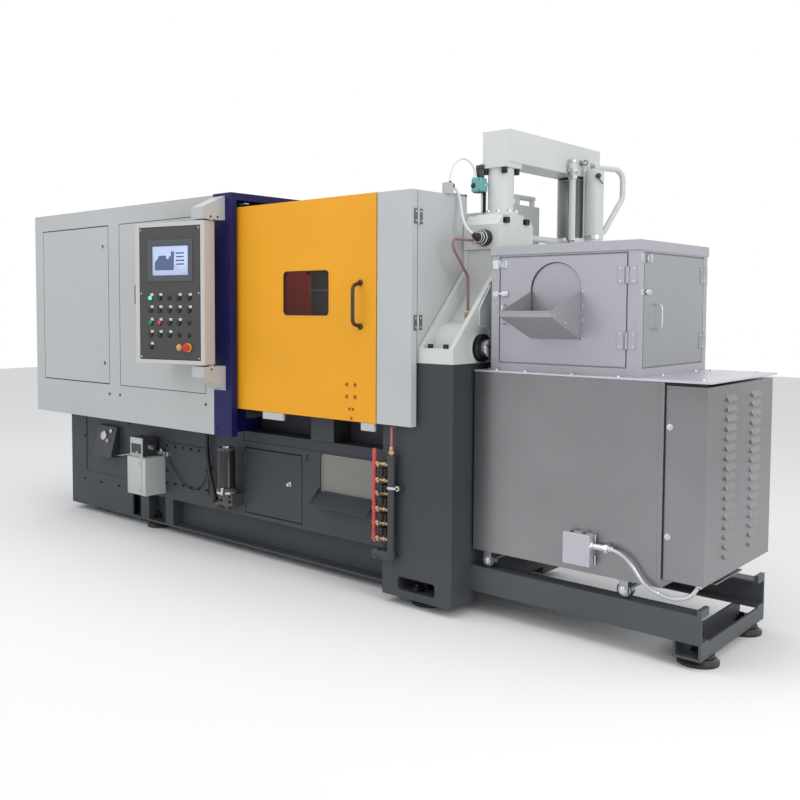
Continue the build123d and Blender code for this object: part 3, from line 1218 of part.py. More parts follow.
# Furnace rails, their end channel and the furnace on wheels
with BuildPart() as furnace_rails:
    with BuildSketch(Plane.YZ.offset(PORTAL_RIGHT)):
        with BuildLine():
            Polyline(
                (RAIL_FRONT, RAIL_BOTTOM), (RAIL_FRONT, RAIL_TOP),
                (RAIL_FRONT + RAIL_WIDTH, RAIL_TOP), (RAIL_FRONT + RAIL_WIDTH, RAIL_TOP - RAIL_WEB),
                (RAIL_FRONT + RAIL_WEB, RAIL_TOP - RAIL_WEB),
                (RAIL_FRONT + RAIL_WEB, RAIL_BOTTOM + RAIL_WEB),
                (RAIL_FRONT + RAIL_WIDTH, RAIL_BOTTOM + RAIL_WEB),
                (RAIL_FRONT + RAIL_WIDTH, RAIL_BOTTOM), close=True,
            )
        make_face()
    extrude(amount=RAIL_END - PORTAL_RIGHT)
    block(
        (RAIL_END - END_STOP_LENGTH, RAIL_END), (RAIL_FRONT, RAIL_FRONT + RAIL_WIDTH),
        (RAIL_TOP, RAIL_TOP + END_STOP_HEIGHT),
    )
    mirror(about=Plane.XZ)
write_piece(furnace_rails.part, "furnace_rails")

with BuildPart() as rail_end_channel:
    with BuildSketch(Plane.XZ.offset(RAIL_FRONT)):
        with BuildLine():
            Polyline(
                (CHANNEL_LEFT, FOOT_HEIGHT), (RAIL_END, FOOT_HEIGHT), (RAIL_END, RAIL_BOTTOM),
                (RAIL_END - RAIL_WEB, RAIL_BOTTOM), (RAIL_END - RAIL_WEB, FOOT_HEIGHT + RAIL_WEB),
                (CHANNEL_LEFT + RAIL_WEB, FOOT_HEIGHT + RAIL_WEB),
                (CHANNEL_LEFT + RAIL_WEB, RAIL_BOTTOM), (CHANNEL_LEFT, RAIL_BOTTOM), close=True,
            )
        make_face()
    extrude(amount=-2 * RAIL_FRONT)
write_piece(rail_end_channel.part, "rail_end_channel")

axle_z = RAIL_TOP + SEAT_GAP + WHEEL_RADIUS
axle_end = WHEEL_Y + WHEEL_WIDTH / 2 + 2 + BRACKET_PLATE
with BuildPart() as furnace_shell:
    block(
        (FURNACE_LEFT, FURNACE_RIGHT), (FURNACE_FRONT, FURNACE_BACK), (FURNACE_BOTTOM, FURNACE_TOP)
    )
    block(PAN_X, (-PAN_HALF_WIDTH, PAN_HALF_WIDTH), (FURNACE_BOTTOM - PAN_DEPTH, FURNACE_BOTTOM))
    block(
        (FURNACE_RIGHT, TONGUE_RIGHT), TONGUE_Y, (FURNACE_BOTTOM, FURNACE_BOTTOM + TONGUE_THICKNESS)
    )
write_piece(furnace_shell.part, "furnace_shell")

with BuildPart() as furnace_end_cover:
    block((FURNACE_RIGHT, COVER_RIGHT), (COVER_FRONT, COVER_BACK), (COVER_BOTTOM, COVER_TOP))
    for louvre_y in LOUVRE_COLUMNS:
        for row in range(LOUVRE_ROWS):
            top = LOUVRE_TOP - row * LOUVRE_PITCH
            louvre = outline(
                Plane.XZ.offset(-louvre_y), (COVER_RIGHT, top),
                (COVER_RIGHT + LOUVRE_PROUD, top - LOUVRE_HEIGHT), (COVER_RIGHT, top - LOUVRE_HEIGHT),
            )
            extrude(louvre, amount=-LOUVRE_WIDTH)
write_piece(furnace_end_cover.part, "furnace_end_cover")

with BuildPart() as furnace_lid:
    block(
        (FURNACE_LEFT, LID_RIGHT), (FURNACE_FRONT - LID_LAP, COVER_BACK + LID_LAP), (FURNACE_TOP, LID_TOP)
    )
write_piece(furnace_lid.part, "furnace_lid")

with BuildPart() as furnace_junction_box:
    block(FURNACE_BOX_X, (FURNACE_FRONT - FURNACE_BOX_DEPTH, FURNACE_FRONT), FURNACE_BOX_Z)
    barrel(
        "X", (FURNACE_GLAND_Y, FURNACE_GLAND_Z), (FURNACE_BOX_X[1], FURNACE_GLAND_RIGHT),
        FURNACE_GLAND_RADIUS,
    )
write_piece(furnace_junction_box.part, "furnace_junction_box")

with BuildPart() as wheel_brackets:
    for wheel_x in WHEEL_X:
        for side in (-1, 1):
            half = WHEEL_WIDTH / 2 + 2
            wheel_y = side * WHEEL_Y
            block(
                (wheel_x - BRACKET_HALF, wheel_x + BRACKET_HALF),
                (wheel_y - half - BRACKET_PLATE, wheel_y + half + BRACKET_PLATE),
                (FURNACE_BOTTOM - BRACKET_PLATE, FURNACE_BOTTOM),
            )
            for cheek in (-1, 1):
                cheek_y = wheel_y + cheek * (half + BRACKET_PLATE / 2)
                block(
                    (wheel_x - CHEEK_HALF, wheel_x + CHEEK_HALF),
                    (cheek_y - BRACKET_PLATE / 2, cheek_y + BRACKET_PLATE / 2),
                    (axle_z - CHEEK_HALF, FURNACE_BOTTOM),
                )
        barrel(
            "Y", (wheel_x, axle_z), (-axle_end - 1, axle_end + 1), AXLE_RADIUS + PIN_CLEARANCE,
            Mode.SUBTRACT,
        )
write_piece(wheel_brackets.part, "wheel_brackets")

for wheel_x, node in zip(WHEEL_X, ("wheelset_left", "wheelset_right")):
    with BuildPart() as wheelset:
        for wheel_y in (-WHEEL_Y, WHEEL_Y):
            barrel(
                "Y", (wheel_x, axle_z), (wheel_y - WHEEL_WIDTH / 2, wheel_y + WHEEL_WIDTH / 2),
                WHEEL_RADIUS,
            )
        barrel("Y", (wheel_x, axle_z), (-axle_end, axle_end), AXLE_RADIUS)
    write_piece(wheelset.part, node)

# Hood over the melting pot: open box with pockets for its two flush doors, lid and ingot tray
pocket_z = (FRONT_DOOR_BOTTOM - DOOR_GAP, FRONT_DOOR_TOP + DOOR_GAP)
opening_z = (FRONT_DOOR_BOTTOM + HOOD_FRAME, FRONT_DOOR_TOP - HOOD_TOP_FRAME)
front_hinge = (FRONT_DOOR_RIGHT + DOOR_GAP / 2, HOOD_FRONT)
side_hinge = (HOOD_RIGHT, SIDE_DOOR_BACK + DOOR_GAP / 2)
with BuildPart() as hood_shell:
    block((HOOD_LEFT, HOOD_RIGHT), (HOOD_FRONT, HOOD_BACK), (LID_TOP, HOOD_TOP))
    block(
        (HOOD_LEFT + HOOD_WALL, HOOD_RIGHT - HOOD_WALL), (HOOD_FRONT + HOOD_WALL, HOOD_BACK - HOOD_WALL),
        (LID_TOP + HOOD_WALL, HOOD_TOP + 1), Mode.SUBTRACT,
    )
    block(
        (FRONT_DOOR_LEFT - DOOR_GAP, FRONT_DOOR_RIGHT + DOOR_GAP),
        (HOOD_FRONT - 1, HOOD_FRONT + HOOD_LEAF), pocket_z, Mode.SUBTRACT,
    )
    block(
        (FRONT_DOOR_LEFT + HOOD_FRAME, FRONT_DOOR_RIGHT - HOOD_FRAME),
        (HOOD_FRONT, HOOD_FRONT + HOOD_WALL + 1), opening_z, Mode.SUBTRACT,
    )
    block(
        (HOOD_RIGHT - HOOD_LEAF, HOOD_RIGHT + 1),
        (SIDE_DOOR_FRONT - DOOR_GAP, SIDE_DOOR_BACK + DOOR_GAP), pocket_z, Mode.SUBTRACT,
    )
    block(
        (HOOD_RIGHT - HOOD_WALL - 1, HOOD_RIGHT),
        (SIDE_DOOR_FRONT + HOOD_FRAME, SIDE_DOOR_BACK - HOOD_FRAME), opening_z, Mode.SUBTRACT,
    )
    knuckles(*front_hinge, FRONT_HINGE_HEIGHTS, moving=False)
    knuckles(*side_hinge, SIDE_HINGE_HEIGHTS, moving=False)
write_piece(hood_shell.part, "hood_shell")

with BuildPart() as hood_lid:
    block(
        (HOOD_LEFT - HOOD_LID_LAP, HOOD_RIGHT + HOOD_LID_LAP),
        (HOOD_FRONT - HOOD_LID_LAP, HOOD_BACK + HOOD_LID_LAP), (HOOD_TOP - HOOD_LID_LIP, HOOD_LID_TOP),
    )
    block(
        (HOOD_LEFT, HOOD_RIGHT), (HOOD_FRONT, HOOD_BACK), (HOOD_TOP - HOOD_LID_LIP - 1, HOOD_TOP),
        Mode.SUBTRACT,
    )
write_piece(hood_lid.part, "hood_lid")

leaf_back = HOOD_LEAF - SEAT_GAP
with BuildPart() as hood_front_door:
    block(
        (FRONT_DOOR_LEFT, FRONT_DOOR_RIGHT), (HOOD_FRONT, HOOD_FRONT + leaf_back),
        (FRONT_DOOR_BOTTOM, FRONT_DOOR_TOP),
    )
    for grow, start, depth, mode in (
        (0.0, 0.0, leaf_back, Mode.SUBTRACT), (FLAP_LAP, leaf_back, FLAP_THICKNESS, Mode.ADD)
    ):
        with BuildSketch(Plane.XZ.offset(-HOOD_FRONT - start)):
            with Locations((FEED_X, FEED_SPRING)):
                Circle(FEED_RADIUS + grow)
            with Locations((FEED_X, (FEED_SPRING + FEED_BOTTOM - grow) / 2)):
                Rectangle(2 * (FEED_RADIUS + grow), FEED_SPRING - FEED_BOTTOM + grow)
        extrude(amount=-depth, mode=mode)
    knuckles(*front_hinge, FRONT_HINGE_HEIGHTS, moving=True)
write_piece(hood_front_door.part, "hood_front_door")

with BuildPart() as hood_side_door:
    block(
        (HOOD_RIGHT - leaf_back, HOOD_RIGHT), (SIDE_DOOR_FRONT, SIDE_DOOR_BACK),
        (FRONT_DOOR_BOTTOM, FRONT_DOOR_TOP),
    )
    knuckles(*side_hinge, SIDE_HINGE_HEIGHTS, moving=True)
write_piece(hood_side_door.part, "hood_side_door")

tray_tip = HOOD_FRONT - TRAY_REACH
with BuildPart() as ingot_chute:
    body = outline(
        Plane.YZ.offset(FEED_X - FEED_RADIUS), (HOOD_FRONT, TRAY_HEEL), (HOOD_FRONT, TRAY_WING_TOP),
        (tray_tip, TRAY_LIP_TOP), (tray_tip, TRAY_TOE),
    )
    extrude(body, amount=2 * FEED_RADIUS)
    hollow = outline(
        Plane.YZ.offset(FEED_X - FEED_RADIUS + TRAY_WALL), (HOOD_FRONT + 1, TRAY_HEEL + TRAY_WALL),
        (HOOD_FRONT + 1, TRAY_WING_TOP + TRAY_WALL), (tray_tip + TRAY_WALL, TRAY_WING_TOP + TRAY_WALL),
        (tray_tip + TRAY_WALL, TRAY_TOE + TRAY_WALL),
    )
    extrude(hollow, amount=2 * (FEED_RADIUS - TRAY_WALL), mode=Mode.SUBTRACT)
write_piece(ingot_chute.part, "ingot_chute")

# Cables and hoses from gland to gland
write_cord(
    "switch_conduit", SWITCH_CONDUIT_DIAMETER,
    (
        (850, -80, 1764), (850, -83, 1790), (848, -103, 1813), (845, -135, 1828), (842, -171, 1827),
        (839, -204, 1809), (835, -226, 1779), (833, -233, 1748), (833, -234, 1720),
    ),
)
write_cord(
    "air_hose", AIR_HOSE_DIAMETER,
    (
        (834, -226, 1716), (838, -207, 1706), (845, -193, 1686), (853, -188, 1650), (865, -197, 1605),
        (884, -208, 1563), (912, -214, 1524), (932, -190, 1504),
    ),
)
write_cord(
    "furnace_conduit", FURNACE_CONDUIT_DIAMETER,
    (
        (1608, -330, 366), (1640, -330, 358), (1670, -330, 337), (1693, -330, 311), (1712, -330, 284),
        (1734, -330, 264), (1761, -330, 251), (1790, -330, 243), (1823, -318, 234), (1857, -305, 238),
        (1885, -294, 257), (1900, -288, 290),
    ),
)
write_cord(
    "bed_conduit", BED_CONDUIT_DIAMETER,
    (
        (-579, -350, 609), (-581, -350, 535), (-578, -350, 461), (-564, -350, 388), (-538, -350, 317),
        (-514, -350, 246),
    ),
)
write_cord(
    "bed_cable", BED_CABLE_DIAMETER,
    (
        (-915, -345, 421), (-893, -345, 389), (-863, -345, 356), (-829, -345, 326), (-795, -345, 299),
        (-759, -345, 278), (-720, -345, 266), (-681, -345, 268), (-645, -345, 285), (-614, -345, 314),
        (-592, -345, 350), (-580, -345, 390),
    ),
)
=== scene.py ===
"""Finishes, fittings, hoses and studio for a hot-chamber die casting machine."""
import json
import logging
import math
from dataclasses import dataclass, field
from enum import Enum
from typing import Sequence

import bmesh
import bpy
import numpy as np
from mathutils import Matrix, Vector


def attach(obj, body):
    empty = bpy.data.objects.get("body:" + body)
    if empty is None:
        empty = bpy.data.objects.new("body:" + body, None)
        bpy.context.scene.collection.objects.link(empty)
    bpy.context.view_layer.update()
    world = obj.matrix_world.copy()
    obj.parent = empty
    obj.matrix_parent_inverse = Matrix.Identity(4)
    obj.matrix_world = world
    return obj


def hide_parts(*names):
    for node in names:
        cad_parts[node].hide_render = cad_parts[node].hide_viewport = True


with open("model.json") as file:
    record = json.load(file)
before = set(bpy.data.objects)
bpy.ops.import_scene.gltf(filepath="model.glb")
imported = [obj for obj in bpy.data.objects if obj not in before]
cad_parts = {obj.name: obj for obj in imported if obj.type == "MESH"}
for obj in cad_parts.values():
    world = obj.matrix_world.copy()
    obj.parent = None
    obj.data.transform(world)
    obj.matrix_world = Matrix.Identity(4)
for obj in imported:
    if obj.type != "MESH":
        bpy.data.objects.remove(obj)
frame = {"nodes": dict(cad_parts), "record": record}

LOG = logging.getLogger("die_casting_machine")
MM = 0.001
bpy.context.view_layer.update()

Point = tuple[float, float, float]
Surface = tuple[np.ndarray, list[np.ndarray]]
LEFT, RIGHT = (-1.0, 0.0, 0.0), (1.0, 0.0, 0.0)
FRONT, BACK = (0.0, -1.0, 0.0), (0.0, 1.0, 0.0)
DOWN, UP = (0.0, 0.0, -1.0), (0.0, 0.0, 1.0)
DUST_COLOUR = (150, 145, 138)
GLOSS_DRIFT = 0.18  # share by which a finish's roughness rises and falls
WELD_DISTANCE = 1e-6  # in metres
UPRIGHT = 0.9  # upward share from which a direction counts as upright
CREASE_ANGLE, BEVEL_ANGLE = math.radians(35), math.radians(40)


def srgb(red: int, green: int, blue: int) -> tuple[float, float, float, float]:
    """Turns a display colour of 0 to 255 a channel into a linear colour with full alpha."""
    channels = []
    for value in (red, green, blue):
        share = value / 255
        channels.append(share / 12.92 if share <= 0.04045 else ((share + 0.055) / 1.055) ** 2.4)
    return (*channels, 1.0)


def add_node(tree: bpy.types.ShaderNodeTree, kind: str, values: dict[str | int, object] | None = None,
             **settings: object) -> bpy.types.Node:
    """Adds a shader node with its inputs filled.

    Args:
        tree: The tree that it joins.
        kind: Its type, without the ShaderNode in front.
        values: A default or, to be linked, an output socket for each input, by name or index.
        settings: The value of each of its own properties.

    Returns:
        The node.
    """
    node = tree.nodes.new(f"ShaderNode{kind}")
    for label, value in settings.items():
        setattr(node, label, value)
    for label, value in (values or {}).items():
        if isinstance(value, bpy.types.NodeSocket):
            tree.links.new(value, node.inputs[label])
        else:
            node.inputs[label].default_value = value
    return node


class NodeGroups:
    """Shader node groups that several finishes share."""

    def __init__(self) -> None:
        """Builds each group once."""
        self.mottle = self._mottle()
        self.edge = self._edge_wear_and_highlight()
        self.dust = self._low_dust()

    @staticmethod
    def _new(name: str, inputs: dict[str, float], outputs: dict[str, str]) -> tuple:
        """Makes an empty group with its sockets.

        Args:
            name: The group's name.
            inputs: The default of each number input, by name.
            outputs: The kind of each output's socket, by name.

        Returns:
            The group, what its input node gives and what its output node takes.
        """
        group = bpy.data.node_groups.new(name, "ShaderNodeTree")
        for label, default in inputs.items():
            socket = group.interface.new_socket(label, in_out="INPUT", socket_type="NodeSocketFloat")
            socket.default_value = default
        for label, kind in outputs.items():
            group.interface.new_socket(label, in_out="OUTPUT", socket_type=f"NodeSocket{kind}")
        given, out = group.nodes.new("NodeGroupInput"), group.nodes.new("NodeGroupOutput")
        return group, given.outputs, out.inputs

    def _mottle(self) -> bpy.types.ShaderNodeTree:
        """Two scales of soft noise on object coordinates: a slow drift mask and a fine grain height."""
        group, given, out = self._new(
            "mottle", {"Drift Scale": 2.0, "Grain Scale": 400.0, "Stretch": 1.0},
            {"Drift": "Float", "Grain": "Float"},
        )
        place = add_node(group, "TexCoord").outputs["Object"]
        drift = add_node(group, "TexNoise", {"Detail": 5.0, "Vector": place, "Scale": given["Drift Scale"]})
        squeeze = add_node(group, "CombineXYZ", {"X": 1.0, "Y": 1.0, "Z": given["Stretch"]})
        scaled = add_node(
            group, "VectorMath", {0: place, 1: squeeze.outputs["Vector"]}, operation="MULTIPLY",
        )
        grain = add_node(group, "TexNoise", {
            "Detail": 3.0, "Vector": scaled.outputs["Vector"], "Scale": given["Grain Scale"],
        })
        spread = add_node(group, "MapRange", {
            "From Min": 0.32, "From Max": 0.68, "Value": drift.outputs["Fac"],
        })
        group.links.new(spread.outputs["Result"], out["Drift"])
        group.links.new(grain.outputs["Fac"], out["Grain"])
        return group

    def _edge_wear_and_highlight(self) -> bpy.types.ShaderNodeTree:
        """Edge mask: how far a rounded normal turns from the true one, broken up by noise; through it edges
        take wear and, on some finishes, a painted highlight.
        """
        group, given, out = self._new("edge_wear_and_highlight", {"Radius": 0.003, "Break Up": 60.0}, {
            "Mask": "Float", "Normal": "Vector",
        })
        rounded = add_node(group, "Bevel", {"Radius": given["Radius"]}, samples=4).outputs["Normal"]
        true = add_node(group, "NewGeometry").outputs["Normal"]
        agree = add_node(group, "VectorMath", {0: rounded, 1: true}, operation="DOT_PRODUCT")
        turned_away = add_node(group, "MapRange", {
            "From Min": 0.995, "From Max": 0.80, "Value": agree.outputs["Value"],
        })
        noise = add_node(group, "TexNoise", {
            "Detail": 6.0, "Vector": add_node(group, "TexCoord").outputs["Object"],
            "Scale": given["Break Up"],
        })
        rough = add_node(group, "MapRange", {
            "From Min": 0.42, "From Max": 0.62, "Value": noise.outputs["Fac"],
        })
        both = add_node(
            group, "Math", {0: turned_away.outputs["Result"], 1: rough.outputs["Result"]},
            operation="MULTIPLY",
        )
        group.links.new(both.outputs["Value"], out["Mask"])
        group.links.new(rounded, out["Normal"])
        return group

    def _low_dust(self) -> bpy.types.ShaderNodeTree:
        """Dust mask: strongest at the floor, fading out upwards, on noise."""
        group, given, out = self._new("low_dust", {"Height": 0.5}, {"Mask": "Float"})
        place = add_node(group, "TexCoord").outputs["Object"]
        height = add_node(group, "SeparateXYZ", {"Vector": place}).outputs["Z"]
        fade = add_node(group, "MapRange", {
            "To Min": 1.0, "To Max": 0.0, "Value": height, "From Max": given["Height"],
        })
        noise = add_node(group, "TexNoise", {"Scale": 9.0, "Detail": 8.0, "Vector": place})
        both = add_node(
            group, "Math", {0: fade.outputs["Result"], 1: noise.outputs["Fac"]}, operation="MULTIPLY",
        )
        group.links.new(both.outputs["Value"], out["Mask"])
        return group


GROUPS = NodeGroups()
BUILT: dict[str, bpy.types.Material] = {}


@dataclass(frozen=True)
class Finish:
    """A surface finish: base colour, gloss, grain, edge wear, painted edge highlights and dust, as a node
    material.

    Attributes:
        name: The material's name.
        slot: The record's material slot that it belongs to; not used.
        colour: Display colour of 0 to 255 a channel.
        roughness: Roughness where nothing wears it.
        metallic: 0 for paint and plastic, 1 for bare metal.
        coat: Clear coat weight.
        sheen: Strength of the mirror-like share, 0.5 for plain paint.
        drift: How much the colour darkens and lightens over the surface.
        drift_scale: Cycles a metre of that drift.
        grain_scale: Cycles a metre of the fine grain.
        grain_height: Depth of the fine grain, in metres.
        stretch: Squeeze of the grain along Z, so that it runs as brush lines.
        wear_and_highlight: Share of the edge colour on edges: worn metal or bare paint, and on the casting,
            furnace steel, hood and junction box a painted highlight.
        wear_and_highlight_colour: Display colour that edges take: the colour of wear, and on the casting,
            furnace steel, hood and junction box a light colour that paints a highlight.
        edge_radius: Radius of the softened edge, in metres.
        dust: Share of dust near the floor.
        alpha: Share of light that the surface stops.
        emission: Strength of the glow.
    """

    name: str
    slot: str
    colour: tuple[int, int, int]
    roughness: float = 0.45
    metallic: float = 0.0
    coat: float = 0.0
    sheen: float = 0.5
    drift: float = 0.06
    drift_scale: float = 2.5
    grain_scale: float = 500.0
    grain_height: float = 0.00006
    stretch: float = 1.0
    wear_and_highlight: float = 0.25
    wear_and_highlight_colour: tuple[int, int, int] = (150, 150, 150)
    edge_radius: float = 0.003
    dust: float = 0.0
    alpha: float = 1.0
    emission: float = 0.0

    def material(self) -> bpy.types.Material:
        """Returns this finish's material, building it the first time."""
        if self.name not in BUILT:
            BUILT[self.name] = self._build()
        return BUILT[self.name]

    @staticmethod
    def _mix(tree: bpy.types.ShaderNodeTree, share: bpy.types.NodeSocket, first: object,
             second: object) -> bpy.types.NodeSocket:
        """Mixes two colours by a mask.

        Args:
            tree: The material's node tree.
            share: Output socket with the mask.
            first: Colour or output socket where the mask is 0.
            second: Colour or output socket where the mask is 1.

        Returns:
            The mixed colour's output socket.
        """
        mix = add_node(tree, "Mix", data_type="RGBA")
        tree.links.new(share, mix.inputs["Factor"])
        for value, socket in ((first, mix.inputs[6]), (second, mix.inputs[7])):
            if isinstance(value, bpy.types.NodeSocket):
                tree.links.new(value, socket)
            else:
                socket.default_value = value
        return mix.outputs[2]

    @staticmethod
    def _scaled(tree: bpy.types.ShaderNodeTree, value: bpy.types.NodeSocket, low: float,
                high: float) -> bpy.types.NodeSocket:
        """Maps a 0 to 1 output onto a new range.

        Args:
            tree: The material's node tree.
            value: Output socket to map.
            low: Result at 0.
            high: Result at 1.

        Returns:
            The mapped output socket.
        """
        return add_node(tree, "MapRange", {"To Min": low, "To Max": high, "Value": value}).outputs["Result"]

    def _build(self) -> bpy.types.Material:
        """Builds the node material of this finish and returns it."""
        material = bpy.data.materials.new(self.name)
        material.use_nodes = True
        tree = material.node_tree
        shader = tree.nodes["Principled BSDF"]
        mottle = add_node(tree, "Group", node_tree=GROUPS.mottle)
        mottle.inputs["Drift Scale"].default_value = self.drift_scale
        mottle.inputs["Grain Scale"].default_value = self.grain_scale
        mottle.inputs["Stretch"].default_value = self.stretch
        edge = add_node(tree, "Group", node_tree=GROUPS.edge)
        edge.inputs["Radius"].default_value = self.edge_radius
        base = srgb(*self.colour)
        dark = tuple(channel * (1 - self.drift) for channel in base[:3]) + (1.0,)
        light = tuple(min(channel * (1 + self.drift), 1.0) for channel in base[:3]) + (1.0,)
        colour = self._mix(tree, mottle.outputs["Drift"], dark, light)
        # Edges take the edge colour: wear on most finishes, a painted highlight on the casting, furnace
        # steel, hood and junction box.
        if self.wear_and_highlight:
            worn_and_lit_edges = self._scaled(tree, edge.outputs["Mask"], 0.0, self.wear_and_highlight)
            colour = self._mix(tree, worn_and_lit_edges, colour, srgb(*self.wear_and_highlight_colour))
        if self.dust:
            dust = add_node(tree, "Group", node_tree=GROUPS.dust)
            share = self._scaled(tree, dust.outputs["Mask"], 0.0, self.dust)
            colour = self._mix(tree, share, colour, srgb(*DUST_COLOUR))
        tree.links.new(colour, shader.inputs["Base Color"])
        low, high = self.roughness * (1 - GLOSS_DRIFT), min(self.roughness * (1 + GLOSS_DRIFT), 1.0)
        tree.links.new(self._scaled(tree, mottle.outputs["Drift"], low, high), shader.inputs["Roughness"])
        for label, value in (
            ("Metallic", self.metallic), ("Coat Weight", self.coat), ("Specular IOR Level", self.sheen),
            ("Alpha", self.alpha),
        ):
            shader.inputs[label].default_value = value
        if self.emission:
            tree.links.new(colour, shader.inputs["Emission Color"])
            shader.inputs["Emission Strength"].default_value = self.emission
        bump = add_node(tree, "Bump", {
            "Distance": self.grain_height, "Height": mottle.outputs["Grain"],
            "Normal": edge.outputs["Normal"],
        })
        tree.links.new(bump.outputs["Normal"], shader.inputs["Normal"])
        return material


